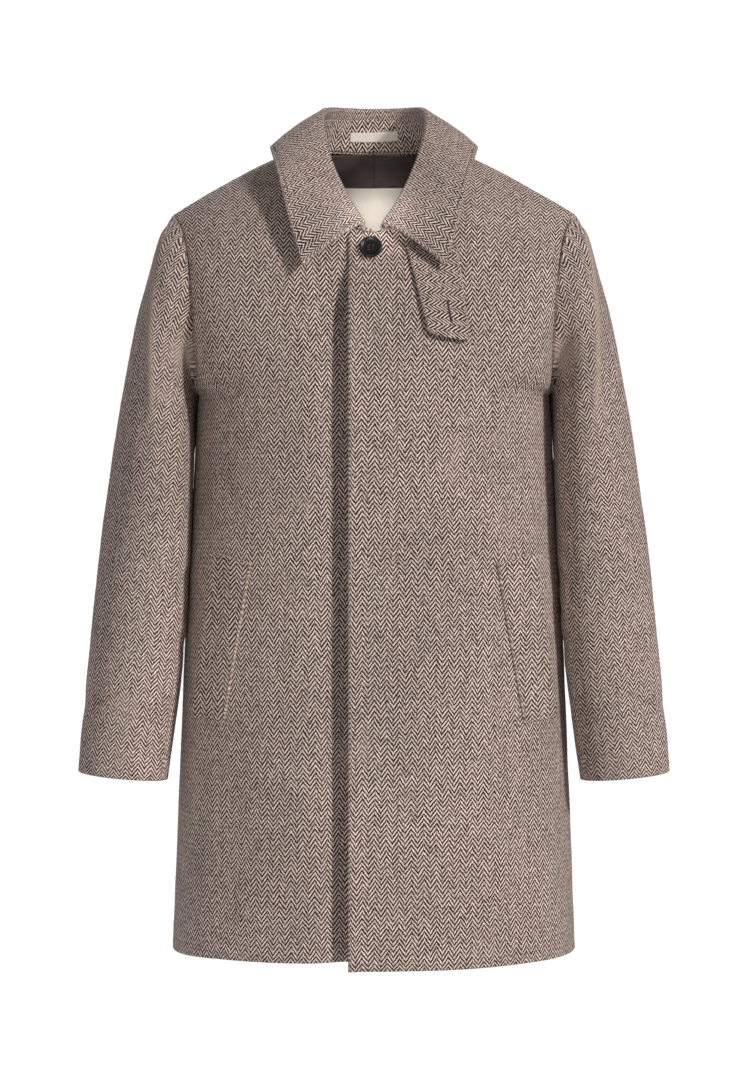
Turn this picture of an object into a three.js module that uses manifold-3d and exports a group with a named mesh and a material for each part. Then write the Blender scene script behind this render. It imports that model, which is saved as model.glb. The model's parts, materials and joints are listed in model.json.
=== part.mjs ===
import * as THREE from 'three';
import { mergeVertices } from 'three/addons/utils/BufferGeometryUtils.js';
import Module from 'manifold-3d';

const wasm = await Module();
wasm.setup();

// Single-breasted wool overcoat, size M, hollow as worn, in millimetres.
// +X is the wearer's left, the front faces -Y and +Z is up.
// The origin is in the neck, at the height where the shoulders start.

const clothThickness = 3;
const seamGap = 0.3;
const wideTrim = 0.65;
const restGap = 0.45;

// Body: heights, and how round a level section is
const armpitZ = -270;
const hemAtSide = -885;
const hemAtBack = -885;
const hemOfLeftFront = -888;
const hemOfRightFront = -880;
const sideSeamY = 2;
const sectionRoundness = 0.6;

// Grid of the body panels
const columnsToCentre = 10;
const rowsToArmpit = 12;
const rowsToShoulder = 14;
const frontNeckRow = 9;
const backNeckRow = 10;

// Closing: the left front lies over the right one
const overlapOfLeft = 27.5;
const underlapOfRight = 25;
const overlapColumns = 2;
const layerStep = clothThickness + 0.8;
const stepFadeFrom = 32;
const stepFadeTo = 78;

const bodySections = [
  { z: -885, halfWidth: 225, front: 150, back: 140 },
  { z: -744, halfWidth: 219.5, front: 148, back: 136 },
  { z: -631, halfWidth: 215, front: 146, back: 131 },
  { z: -553, halfWidth: 212, front: 144, back: 128 },
  { z: -497, halfWidth: 209, front: 143, back: 126 },
  { z: -385, halfWidth: 203, front: 141, back: 126 },
  { z: -296, halfWidth: 198, front: 140, back: 131 },
  { z: -270, halfWidth: 196, front: 139.5, back: 133 },
];

// The centre lines of front and back above the armpits
const centreFront = [
  { z: -270, y: -139.5 },
  { z: -215, y: -136 },
  { z: -160, y: -127 },
  { z: -125, y: -116 },
  { z: -103, y: -107 },
];
const centreBack = [
  { z: -270, y: 133 },
  { z: -200, y: 137 },
  { z: -130, y: 135 },
  { z: -70, y: 121 },
  { z: -30, y: 103 },
  { z: 0, y: 82 },
  { z: 15, y: 69 },
];

// The armhole of the left side, from the armpit up to the shoulder's tip
const armhole = {
  front: [
    { share: 0, x: 196, y: 2, z: -270 },
    { share: 0.143, x: 195.5, y: -38, z: -262 },
    { share: 0.286, x: 195.5, y: -63, z: -232 },
    { share: 0.429, x: 197, y: -73, z: -190 },
    { share: 0.571, x: 200.5, y: -71, z: -147 },
    { share: 0.714, x: 205.5, y: -58, z: -112 },
    { share: 0.857, x: 213.5, y: -35, z: -84 },
    { share: 1, x: 225, y: 0, z: -66 },
  ],
  back: [
    { share: 0, x: 196, y: 2, z: -270 },
    { share: 0.143, x: 194, y: 42, z: -263 },
    { share: 0.286, x: 191, y: 70, z: -232 },
    { share: 0.429, x: 190, y: 80, z: -190 },
    { share: 0.571, x: 193, y: 79, z: -147 },
    { share: 0.714, x: 200, y: 66, z: -110 },
    { share: 0.857, x: 211, y: 42, z: -82 },
    { share: 1, x: 225, y: 0, z: -66 },
  ],
};

// How a row leaves the armhole (from) and how it reaches the centre or the neck (to)
const rowPulls = {
  front: [
    { share: 0, fromX: 0, fromY: -84, fromZ: 0, toX: 118, toY: 0, toZ: 0 },
    { share: 0.35, fromX: -8, fromY: -44, fromZ: 4, toX: 84, toY: 0, toZ: 0 },
    { share: 0.65, fromX: -22, fromY: -28, fromZ: 9, toX: 62, toY: 0, toZ: 0 },
    { share: 1, fromX: -42, fromY: 0, fromZ: 26, toX: 40, toY: 0, toZ: -12 },
  ],
  back: [
    { share: 0, fromX: 0, fromY: 80, fromZ: 0, toX: 118, toY: 0, toZ: 0 },
    { share: 0.35, fromX: -8, fromY: 44, fromZ: 6, toX: 84, toY: 0, toZ: 0 },
    { share: 0.72, fromX: -24, fromY: 28, fromZ: 16, toX: 58, toY: 0, toZ: 0 },
    { share: 1, fromX: -42, fromY: 0, fromZ: 26, toX: 40, toY: 0, toZ: -12 },
  ],
};

// Necklines of the left half as cubic curves, from the centre to the shoulder seam
const neckline = {
  front: [
    [0, -107, -103],
    [44, -107, -98],
    [84, -66, -26],
    [82, -5, 7],
  ],
  back: [
    [0, 69, 15],
    [40, 69, 15],
    [76, 36, 13],
    [82, -5, 7],
  ],
};

// Soft upright folds: at is the share of the way from the side seam to the centre
const bodyFolds = [
  { panel: 'front_left', at: 0.3, width: 0.15, height: 2.4, startZ: -430, fullZ: -800 },
  { panel: 'front_left', at: 0.52, width: 0.15, height: -2, startZ: -520, fullZ: -840 },
  { panel: 'front_left', at: 0.7, width: 0.14, height: 1.6, startZ: -470, fullZ: -760 },
  { panel: 'front_right', at: 0.27, width: 0.15, height: 2, startZ: -480, fullZ: -820 },
  { panel: 'front_right', at: 0.49, width: 0.15, height: -2.2, startZ: -400, fullZ: -780 },
  { panel: 'front_right', at: 0.68, width: 0.14, height: 1.8, startZ: -560, fullZ: -850 },
  { panel: 'back', at: 0.3, width: 0.16, height: 4, startZ: -380, fullZ: -800 },
  { panel: 'back', at: 0.55, width: 0.15, height: -3.4, startZ: -420, fullZ: -820 },
  { panel: 'back', at: 0.8, width: 0.15, height: 3, startZ: -460, fullZ: -780 },
];

// Sleeve: rings from the cap to the cuff, each through an outer and an inner point
const sleeveRings = [
  { outX: 236, outY: 0, outZ: -87, inX: 202, inY: 2, inZ: -267, halfDepth: 79 },
  { outX: 250, outY: -1, outZ: -124, inX: 205, inY: 0, inZ: -273, halfDepth: 80 },
  { outX: 263, outY: -3, outZ: -172, inX: 205, inY: -8, inZ: -288, halfDepth: 79 },
  { outX: 274, outY: -6, outZ: -232, inX: 200, inY: -18, inZ: -314, halfDepth: 76 },
  { outX: 285, outY: -9, outZ: -296, inX: 199.5, inY: -27, inZ: -348, halfDepth: 72 },
  { outX: 295, outY: -12, outZ: -365, inX: 201, inY: -33, inZ: -396, halfDepth: 67 },
  { outX: 304, outY: -15, outZ: -432, inX: 203, inY: -36, inZ: -450, halfDepth: 62 },
  { outX: 311.5, outY: -19, outZ: -505, inX: 206, inY: -37, inZ: -517, halfDepth: 57 },
  { outX: 318, outY: -23, outZ: -575, inX: 213, inY: -37, inZ: -585, halfDepth: 53 },
  { outX: 323.5, outY: -27, outZ: -635, inX: 221, inY: -37, inZ: -645, halfDepth: 50 },
  { outX: 327.5, outY: -30, outZ: -686, inX: 228, inY: -36, inZ: -695, halfDepth: 48 },
];
const sleeveClearance = 1.8;
const sleeveRows = 17;
const frontSleeveSeam = 2;
const hindSleeveSeam = 22;

// The long soft ridge down the front and the back of each sleeve's cap
const capRidge = [
  { z: -80, x: 229 },
  { z: -91, x: 234 },
  { z: -144, x: 241.5 },
  { z: -198, x: 244 },
  { z: -240, x: 243 },
  { z: -290, x: 241 },
];
const ridgeHeight = 3;
const ridgeWidth = 8;
const troughDepth = 2.4;
const troughOffset = 16;

// Creases across the sleeve: turn is measured around it, 0 inside, 0.25 front, 0.5 outside
const sleeveCreases = [
  { z: -455, slope: 0.35, turn: 0.1, spread: 0.16, width: 13, height: -2.4 },
  { z: -492, slope: 0.25, turn: 0.9, spread: 0.14, width: 12, height: -2.6 },
  { z: -530, slope: 0.3, turn: 0.06, spread: 0.15, width: 12, height: -2 },
  { z: -600, slope: -0.2, turn: 0.4, spread: 0.16, width: 16, height: -1.6 },
];

// Collar: the roll it turns over at and its outer edge, from the centre back to the front
const collarStations = [
  { turn: 0, rollX: 0, rollY: 66, rollZ: 61, edgeX: 0, edgeY: 101, edgeZ: -8 },
  { turn: 0.17, rollX: 30, rollY: 61, rollZ: 61, edgeX: 50, edgeY: 95, edgeZ: -7 },
  { turn: 0.34, rollX: 51, rollY: 43, rollZ: 60, edgeX: 91, edgeY: 68, edgeZ: -2 },
  { turn: 0.48, rollX: 60, rollY: 18, rollZ: 55, edgeX: 112, edgeY: 29, edgeZ: 5 },
  { turn: 0.6, rollX: 62, rollY: -9, rollZ: 43, edgeX: 117, edgeY: -12, edgeZ: 8 },
  { turn: 0.72, rollX: 57, rollY: -38, rollZ: 12, edgeX: 111, edgeY: -54, edgeZ: -12 },
  { turn: 0.82, rollX: 44, rollY: -66, rollZ: -26, edgeX: 103, edgeY: -86, edgeZ: -40 },
  { turn: 0.91, rollX: 29, rollY: -92, rollZ: -60, edgeX: 92, edgeY: -112, edgeZ: -84 },
  { turn: 1, rollX: 13, rollY: -112, rollZ: -88, edgeX: 77, edgeY: -129, edgeZ: -137 },
];
const collarThickness = 3.4;
const collarFoldRadius = 4.6;
const collarCrown = 3.5;
const collarTurnOver = 7;
const collarLeafRows = 6;
const collarFoldRows = 4;
const standRows = 2;

// Pieces that lie on a panel: corners as seen from the front
const welt = {
  outerTop: [175, -442],
  innerTop: [131, -455],
  innerBottom: [161, -628],
  outerBottom: [199, -624],
  gap: 0.8,
  thickness: 2.6,
  columns: 5,
  rows: 8,
};
const throatTab = {
  topCentre: [62, -112],
  endCentre: [80, -215],
  topHalfWidth: 28,
  endHalfWidth: 22,
  endSlant: 0.16,
  cornerRadius: 7,
  thickness: 2.6,
  columns: 5,
  rows: 9,
};
const lining = {
  halfWidth: 108,
  topAtCentre: 12,
  topAtSide: -30,
  bottomZ: -180,
  gap: 0.9,
  thickness: 1,
  columns: 7,
  rows: 9,
};
const mainLabelGap = 0.95;
const mainLabel = { halfWidth: 46, topZ: -20, bottomZ: -84, thickness: 0.7, columns: 6, rows: 4 };
const smallLabel = { halfWidth: 28.5, topZ: 37, bottomZ: 26, thickness: 0.7, columns: 6, rows: 2 };

const button = {
  x: -3.5,
  z: -116,
  radius: 12.5,
  thickness: 4,
  gap: 1.1,
  holeRadius: 1.1,
  holeSpacing: 2.7,
  sides: 32,
  holeSides: 10,
};

const woolColour = 0x8c7c72;
const satinColour = 0x2c2523;
const labelColour = 0xe6dccb;
const hornColour = 0x1c1b1b;

// Plain helpers

function mix(a, b, share) {
  return a + (b - a) * share;
}

function ease(from, to, value) {
  const share = Math.min(1, Math.max(0, (value - from) / (to - from)));
  return share * share * (3 - 2 * share);
}

function bell(distance, width) {
  return Math.exp(-((distance / width) ** 2));
}

// A value from a table's column, smooth between its rows and held beyond its ends
function lookUp(table, by, at, name) {
  const forward = table[table.length - 1][by] > table[0][by] ? 1 : -1;
  const last = table.length - 1;
  let i = 0;
  while (i < last - 1 && (at - table[i + 1][by]) * forward > 0) {
    i += 1;
  }
  const here = table[i];
  const next = table[i + 1];
  const span = next[by] - here[by];
  const share = Math.min(1, Math.max(0, (at - here[by]) / span));
  const before = table[Math.max(0, i - 1)];
  const after = table[Math.min(last, i + 2)];
  const slopeHere = ((next[name] - before[name]) / (next[by] - before[by])) * span;
  const slopeNext = ((after[name] - here[name]) / (after[by] - here[by])) * span;
  const square = share * share;
  const cube = square * share;
  return (
    (2 * cube - 3 * square + 1) * here[name] +
    (cube - 2 * square + share) * slopeHere +
    (3 * square - 2 * cube) * next[name] +
    (cube - square) * slopeNext
  );
}

function vectorFrom(table, by, at, names) {
  return new THREE.Vector3(...names.map((name) => lookUp(table, by, at, name)));
}

function cubicPoint(points, share) {
  const rest = 1 - share;
  const weights = [rest ** 3, 3 * rest * rest * share, 3 * rest * share * share, share ** 3];
  const sum = new THREE.Vector3();
  points.forEach((point, i) => sum.addScaledVector(point, weights[i]));
  return sum;
}

function mirrored(point) {
  return new THREE.Vector3(-point.x, point.y, point.z);
}

// A sheet is a surface of quads; rows may have different lengths, as at a neckline
function makeSheet(rows, flip = false) {
  const points = [];
  const ids = rows.map((row) => row.map((point) => points.push(point.clone()) - 1));
  const quads = [];
  for (let i = 0; i + 1 < ids.length; i += 1) {
    const width = Math.min(ids[i].length, ids[i + 1].length);
    for (let j = 0; j + 1 < width; j += 1) {
      const quad = [ids[i][j], ids[i][j + 1], ids[i + 1][j + 1], ids[i + 1][j]];
      quads.push(flip ? quad.reverse() : quad);
    }
  }
  return { points, quads, ids };
}

function faceNormal(points, quad) {
  const across = points[quad[2]].clone().sub(points[quad[0]]);
  const along = points[quad[3]].clone().sub(points[quad[1]]);
  return across.cross(along);
}

function setNormals(sheet) {
  sheet.normals = sheet.points.map(() => new THREE.Vector3());
  for (const quad of sheet.quads) {
    const normal = faceNormal(sheet.points, quad);
    quad.forEach((id) => sheet.normals[id].add(normal));
  }
  sheet.normals.forEach((normal) => normal.normalize());
}

// Where sheets meet, both take the same normal, so that their walls meet squarely
function shareNormals(sheets) {
  const groups = new Map();
  for (const sheet of sheets) {
    sheet.points.forEach((point, id) => {
      const key = point.toArray().map((value) => Math.round(value * 100)).join(' ');
      const group = groups.get(key) ?? [];
      group.push(sheet.normals[id]);
      groups.set(key, group);
    });
  }
  for (const group of groups.values()) {
    const sum = new THREE.Vector3();
    group.forEach((normal) => sum.add(normal));
    sum.normalize();
    group.forEach((normal) => normal.copy(sum));
  }
}

function boundaryEdges(quads) {
  const edges = new Map();
  for (const quad of quads) {
    quad.forEach((a, i) => {
      const b = quad[(i + 1) % quad.length];
      if (!edges.delete(`${b} ${a}`)) {
        edges.set(`${a} ${b}`, [a, b]);
      }
    });
  }
  return [...edges.values()];
}

// Draws every edge of a sheet in, by half a seam gap
function trimSheet(sheet, distance) {
  const moves = new Map();
  for (const [a, b] of boundaryEdges(sheet.quads)) {
    const along = sheet.points[b].clone().sub(sheet.points[a]);
    for (const id of [a, b]) {
      const inward = sheet.normals[id].clone().cross(along).normalize();
      moves.set(id, (moves.get(id) ?? new THREE.Vector3()).add(inward));
    }
  }
  for (const [id, move] of moves) {
    sheet.points[id].addScaledVector(move.normalize(), distance);
  }
}

// A closed wall: the sheet outside, its copy moved in by the thickness, and a rim all round
function wallGeometry(sheet, thickness) {
  const count = sheet.points.length;
  const inner = sheet.points.map((point, id) =>
    point.clone().addScaledVector(sheet.normals[id], -thickness));
  const positions = [...sheet.points, ...inner].flatMap((point) => point.toArray());
  const faces = [];
  for (const [a, b, c, d] of sheet.quads) {
    const shortFirst = sheet.points[a].distanceTo(sheet.points[c])
      <= sheet.points[b].distanceTo(sheet.points[d]);
    const halves = shortFirst ? [[a, b, c], [a, c, d]] : [[a, b, d], [b, c, d]];
    for (const [p, q, r] of halves) {
      faces.push(p, q, r);
      faces.push(r + count, q + count, p + count);
    }
  }
  for (const [a, b] of boundaryEdges(sheet.quads)) {
    faces.push(b, a, a + count);
    faces.push(b, a + count, b + count);
  }
  const geometry = new THREE.BufferGeometry();
  geometry.setAttribute('position', new THREE.Float32BufferAttribute(positions, 3));
  geometry.setIndex(faces);
  return geometry;
}

// The point and normal of a sheet at a place seen along Y
function pointOver(sheet, x, z) {
  for (const [a, b, c, d] of sheet.quads) {
    for (const corners of [[a, b, c], [a, c, d]]) {
      const [p, q, r] = corners.map((id) => sheet.points[id]);
      const area = (q.x - p.x) * (r.z - p.z) - (r.x - p.x) * (q.z - p.z);
      const atQ = ((x - p.x) * (r.z - p.z) - (r.x - p.x) * (z - p.z)) / area;
      const atR = ((q.x - p.x) * (z - p.z) - (x - p.x) * (q.z - p.z)) / area;
      if (atQ >= 0 && atR >= 0 && atQ + atR <= 1) {
        const weights = [1 - atQ - atR, atQ, atR];
        const point = new THREE.Vector3();
        const normal = new THREE.Vector3();
        corners.forEach((id, i) => {
          point.addScaledVector(sheet.points[id], weights[i]);
          normal.addScaledVector(sheet.normals[id], weights[i]);
        });
        return { point, normal: normal.normalize() };
      }
    }
  }
  throw new Error(`no cloth at ${x}, ${z}`);
}

// Body panels

// The four control points of a row across one half of a panel; level 0 is the hem,
// 1 the armpit and 2 the shoulder seam
function bodyRow(face, level, hemAtCentre) {
  const forward = face === 'front' ? -1 : 1;
  if (level <= 1) {
    const z = mix(hemAtSide, armpitZ, level);
    const halfWidth = lookUp(bodySections, 'z', z, 'halfWidth');
    const depth = lookUp(bodySections, 'z', z, face);
    const centreZ = mix(hemAtCentre, armpitZ, level);
    return [
      new THREE.Vector3(halfWidth, sideSeamY, z),
      new THREE.Vector3(halfWidth, sideSeamY + forward * depth * sectionRoundness, z),
      new THREE.Vector3(halfWidth * sectionRoundness, forward * depth, centreZ),
      new THREE.Vector3(0, forward * depth, centreZ),
    ];
  }
  const share = level - 1;
  const start = vectorFrom(armhole[face], 'share', share, ['x', 'y', 'z']);
  const from = vectorFrom(rowPulls[face], 'share', share, ['fromX', 'fromY', 'fromZ']);
  const to = vectorFrom(rowPulls[face], 'share', share, ['toX', 'toY', 'toZ']);
  const end = rowEnd(face, share);
  return [start, start.clone().add(from), end.clone().add(to), end];
}

function rowEnd(face, share) {
  const neckShare = (face === 'front' ? frontNeckRow : backNeckRow) / rowsToShoulder;
  const centre = face === 'front' ? centreFront : centreBack;
  if (share <= neckShare) {
    const z = mix(armpitZ, centre[centre.length - 1].z, share / neckShare);
    return new THREE.Vector3(0, lookUp(centre, 'z', z, 'y'), z);
  }
  const curve = neckline[face].map((point) => new THREE.Vector3(...point));
  return cubicPoint(curve, (share - neckShare) / (1 - neckShare));
}

function foldHeight(panel, at, z) {
  let height = 0;
  for (const fold of bodyFolds) {
    if (fold.panel === panel) {
      const fade = ease(fold.startZ, fold.fullZ, z);
      height += fold.height * fade * bell(at - fold.at, fold.width) * ease(0, 0.15, at);
    }
  }
  return height;
}

// Points of a row from the side to the centre, with the panel's folds
function rowPoints(panel, face, controls) {
  const forward = face === 'front' ? -1 : 1;
  const points = [];
  for (let j = 0; j <= columnsToCentre; j += 1) {
    const at = j / columnsToCentre;
    const point = cubicPoint(controls, at);
    point.y += forward * foldHeight(panel, at, point.z);
    points.push(point);
  }
  return points;
}

// Steps of a search that halves its range each time
const halvings = 30;

// The point beyond the centre that mirrors the row's point at the same distance
function pointBeyond(controls, distance) {
  let low = 0;
  let high = 1;
  for (let i = 0; i < halvings; i += 1) {
    const middle = (low + high) / 2;
    if (cubicPoint(controls, middle).x > distance) {
      low = middle;
    } else {
      high = middle;
    }
  }
  return mirrored(cubicPoint(controls, low));
}

function levelOfRow(i) {
  return i <= rowsToArmpit ? i / rowsToArmpit : 1 + (i - rowsToArmpit) / rowsToShoulder;
}

function stepBack(step, x) {
  return step * (1 - ease(stepFadeFrom, stepFadeTo, x));
}

// A front in the left half's coordinates; step sets it back under the other front
function frontRows(panel, hemAtCentre, reach, step) {
  const rows = [];
  for (let i = 0; i <= rowsToArmpit + rowsToShoulder; i += 1) {
    const controls = bodyRow('front', levelOfRow(i), hemAtCentre);
    const points = rowPoints(panel, 'front', controls);
    if (i <= rowsToArmpit + frontNeckRow) {
      for (let k = 1; k <= overlapColumns; k += 1) {
        points.push(pointBeyond(controls, (reach * k) / overlapColumns));
      }
    }
    points.forEach((point) => {
      point.y += stepBack(step, point.x);
    });
    rows.push(points);
  }
  return rows;
}

function backRows() {
  const rows = [];
  for (let i = 0; i <= rowsToArmpit + rowsToShoulder; i += 1) {
    rows.push(rowPoints('back', 'back', bodyRow('back', levelOfRow(i), hemAtBack)));
  }
  return rows;
}

// The back is one panel: its two halves share the centre line up to the neck
function makeBackSheet(rows) {
  const left = makeSheet(rows);
  const right = makeSheet(rows.map((row) => row.map(mirrored)), true);
  const offset = left.points.length;
  const merged = right.points.map((point, id) => id + offset);
  for (let i = 0; i <= rowsToArmpit + backNeckRow; i += 1) {
    merged[right.ids[i][columnsToCentre]] = left.ids[i][columnsToCentre];
  }
  const points = [...left.points, ...right.points];
  const quads = [...left.quads, ...right.quads.map((quad) => quad.map((id) => merged[id]))];
  return dropUnused({ points, quads });
}

function dropUnused(sheet) {
  const used = [...new Set(sheet.quads.flat())];
  const place = new Map(used.map((id, i) => [id, i]));
  return {
    points: used.map((id) => sheet.points[id]),
    quads: sheet.quads.map((quad) => quad.map((id) => place.get(id))),
  };
}

// Sleeves

const ringColumns = 2 * rowsToShoulder;

// Ring 0 is the armhole itself, the others come from the table
function ringPoint(ring, column) {
  const turn = column / ringColumns;
  if (ring === 0) {
    const face = turn <= 0.5 ? 'front' : 'back';
    const share = turn <= 0.5 ? turn * 2 : 2 - turn * 2;
    return bodyRow(face, 1 + share, hemAtBack)[0];
  }
  const row = sleeveRings[ring - 1];
  const angle = turn * 2 * Math.PI;
  const inward = (1 + Math.cos(angle)) / 2;
  return new THREE.Vector3(
    mix(row.outX, row.inX, inward),
    mix(row.outY, row.inY, inward) - row.halfDepth * Math.sin(angle),
    mix(row.outZ, row.inZ, inward),
  );
}

function sleeveCurve(column) {
  const rings = [];
  for (let ring = 0; ring <= sleeveRings.length; ring += 1) {
    rings.push(ringPoint(ring, column));
  }
  return new THREE.CatmullRomCurve3(rings, false, 'catmullrom', 0.5);
}

// How far out the body's side reaches at a height below the armpit
function sideOfBody(y, z) {
  const level = Math.min(1, (z - hemAtSide) / (armpitZ - hemAtSide));
  const controls = bodyRow(y < sideSeamY ? 'front' : 'back', level, hemAtBack);
  let low = 0;
  let high = 1;
  for (let i = 0; i < halvings; i += 1) {
    const middle = (low + high) / 2;
    if (Math.abs(cubicPoint(controls, middle).y - sideSeamY) < Math.abs(y - sideSeamY)) {
      low = middle;
    } else {
      high = middle;
    }
  }
  return cubicPoint(controls, low).x;
}

// Where the ridge down the cap starts, is full, begins to fade and ends
const ridgeSpan = { startZ: -70, fullZ: -95, fadeZ: -235, endZ: -300 };
// Share of the sleeve's length over which the ridge and the clearance set in
const ridgeSetIn = 0.05;
const clearanceSetIn = 0.06;
// The sleeve's middle, where the creases' heights are measured
const creaseCentreX = 260;

function sleeveRelief(point, turn, along) {
  const ridgeX = lookUp(capRidge, 'z', point.z, 'x');
  const start = ease(ridgeSpan.startZ, ridgeSpan.fullZ, point.z) * ease(0, ridgeSetIn, along);
  const fade = start * ease(ridgeSpan.endZ, ridgeSpan.fadeZ, point.z);
  const ridge = ridgeHeight * bell(point.x - ridgeX, ridgeWidth);
  const trough = troughDepth * bell(point.x - ridgeX - troughOffset, ridgeWidth);
  let height = (ridge - trough) * fade;
  for (const crease of sleeveCreases) {
    const round = Math.abs(turn - crease.turn);
    const apart = Math.min(round, 1 - round);
    const middle = crease.z + crease.slope * (point.x - creaseCentreX);
    height += crease.height * bell(apart, crease.spread) * bell(point.z - middle, crease.width);
  }
  return height;
}

// A row of sleeve points, with the folds pushed out from the sleeve's middle
function sleeveRow(curves, along) {
  const row = curves.map((curve) => curve.getPoint(along));
  const middle = new THREE.Vector3();
  row.forEach((point) => middle.addScaledVector(point, 1 / row.length));
  return row.map((point, column) => {
    const outward = point.clone().sub(middle).normalize();
    const height = sleeveRelief(point, column / ringColumns, along);
    const pushed = point.clone().addScaledVector(outward, height);
    const clearance = sleeveClearance * ease(0, clearanceSetIn, along);
    const touch = sideOfBody(pushed.y, pushed.z) + clearance;
    if (pushed.z < armpitZ && pushed.x < touch) {
      pushed.x = touch;
    }
    return pushed;
  });
}

function sleeveSheets() {
  const curves = [];
  for (let column = 0; column < ringColumns; column += 1) {
    curves.push(sleeveCurve(column));
  }
  const upper = [];
  const under = [];
  for (let i = 0; i <= sleeveRows; i += 1) {
    const row = sleeveRow(curves, i / sleeveRows);
    upper.push(row.slice(frontSleeveSeam, hindSleeveSeam + 1));
    under.push([...row.slice(hindSleeveSeam), ...row.slice(0, frontSleeveSeam + 1)]);
  }
  return { upper, under };
}

// Collar and stand

function collarStation(turn) {
  const roll = vectorFrom(collarStations, 'turn', turn, ['rollX', 'rollY', 'rollZ']);
  const edge = vectorFrom(collarStations, 'turn', turn, ['edgeX', 'edgeY', 'edgeZ']);
  const behind = Math.max(0, turn - 0.01);
  const ahead = Math.min(1, turn + 0.01);
  const rollAhead = vectorFrom(collarStations, 'turn', ahead, ['rollX', 'rollY', 'rollZ']);
  const rollBehind = vectorFrom(collarStations, 'turn', behind, ['rollX', 'rollY', 'rollZ']);
  const along = rollAhead.sub(rollBehind).normalize();
  const down = edge.clone().sub(roll);
  down.addScaledVector(along, -down.dot(along)).normalize();
  const outward = along.clone().cross(down).normalize();
  return { roll, edge, down, outward };
}

function footOfStand(turn) {
  const backShare = backNeckTurn;
  const face = turn <= backShare ? 'back' : 'front';
  const curve = neckline[face].map((point) => new THREE.Vector3(...point));
  const share = turn <= backShare ? turn / backShare : (1 - turn) / (1 - backShare);
  return cubicPoint(curve, share);
}

// Share of the half neckline that belongs to the back
const backNeckTurn = 0.6;

// Largest share of the way from the fold to the neckline that the turned-over cloth takes
const turnOverShare = 0.35;

// The point inside the fold where the turned-over cloth ends and the stand begins
function turnOverEnd(turn) {
  const { roll, outward } = collarStation(turn);
  const inside = roll.clone().addScaledVector(outward, -2 * collarFoldRadius);
  const toFoot = footOfStand(turn).addScaledVector(outward, -clothThickness).sub(inside);
  const length = Math.min(collarTurnOver, toFoot.length() * turnOverShare);
  return { inside, end: inside.clone().addScaledVector(toFoot.normalize(), length) };
}

// One section of the collar, from inside the neck over the fold to the outer edge
function collarProfile(turn) {
  const { roll, edge, down, outward } = collarStation(turn);
  const { end } = turnOverEnd(turn);
  const axis = roll.clone().addScaledVector(outward, -collarFoldRadius);
  const points = [end];
  for (let i = collarFoldRows; i >= 1; i -= 1) {
    const angle = (Math.PI * i) / collarFoldRows;
    const point = axis.clone().addScaledVector(outward, collarFoldRadius * Math.cos(angle));
    points.push(point.addScaledVector(down, -collarFoldRadius * Math.sin(angle)));
  }
  for (let i = 0; i <= collarLeafRows; i += 1) {
    const share = i / collarLeafRows;
    const point = roll.clone().lerp(edge, share);
    points.push(point.addScaledVector(outward, 4 * collarCrown * share * (1 - share)));
  }
  return points;
}

// Sections from the left front end round the back to the right one
function collarRows() {
  const half = neckStations(0).map(({ turn }) => collarProfile(turn));
  const other = half.slice(0, -1).map((points) => points.map(mirrored)).reverse();
  return [...half, ...other];
}

// The neckline's own corners and the middles between them, so that the stand meets
// the panels point for point
function neckStations(step) {
  const corners = [];
  for (let i = frontNeckRow; i < rowsToShoulder; i += 1) {
    const share = (i - frontNeckRow) / (rowsToShoulder - frontNeckRow);
    const point = rowEnd('front', i / rowsToShoulder);
    point.y += stepBack(step, point.x);
    corners.push({ turn: 1 - share * (1 - backNeckTurn), point });
  }
  for (let i = rowsToShoulder; i >= backNeckRow; i -= 1) {
    const share = (i - backNeckRow) / (rowsToShoulder - backNeckRow);
    corners.push({ turn: share * backNeckTurn, point: rowEnd('back', i / rowsToShoulder) });
  }
  return corners.flatMap((corner, i) => {
    if (i === 0) {
      return [corner];
    }
    const before = corners[i - 1];
    const middle = corner.point.clone().lerp(before.point, 0.5);
    return [{ turn: (corner.turn + before.turn) / 2, point: middle }, corner];
  });
}

// The stand's sections run down from the turned-over cloth's edge to the neckline
function standSections(fall) {
  const left = neckStations(0);
  const right = neckStations(layerStep).slice(0, -1);
  const feet = [
    ...left.map(({ point }) => point),
    ...right.map(({ point }) => mirrored(point)).reverse(),
  ];
  return feet.map((foot, k) => {
    const id = fall.ids[k][0];
    const top = fall.points[id].clone().addScaledVector(fall.normals[id], -collarThickness);
    const points = [];
    for (let i = 0; i <= standRows; i += 1) {
      points.push(top.clone().lerp(foot, i / standRows));
    }
    return points;
  });
}

// The stand's top edge faces the turned-over edge squarely
function matchStandTop(stand, fall) {
  stand.ids.forEach((row, k) => {
    stand.normals[row[0]].copy(fall.normals[fall.ids[k][0]]).negate();
  });
}

// Pieces made from a panel's points, moved out or in

function moved(sheet, x, z, offset) {
  const { point, normal } = pointOver(sheet, x, z);
  return point.addScaledVector(normal, offset);
}

function weltRows(panel, side) {
  const rows = [];
  for (let i = 0; i <= welt.rows; i += 1) {
    const row = [];
    for (let j = 0; j <= welt.columns; j += 1) {
      const down = i / welt.rows;
      const inward = j / welt.columns;
      const top = [0, 1].map((k) => mix(welt.outerTop[k], welt.innerTop[k], inward));
      const bottom = [0, 1].map((k) => mix(welt.outerBottom[k], welt.innerBottom[k], inward));
      const x = side * mix(top[0], bottom[0], down);
      row.push(moved(panel, x, mix(top[1], bottom[1], down), welt.gap + welt.thickness));
    }
    rows.push(row);
  }
  return rows;
}

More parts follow.
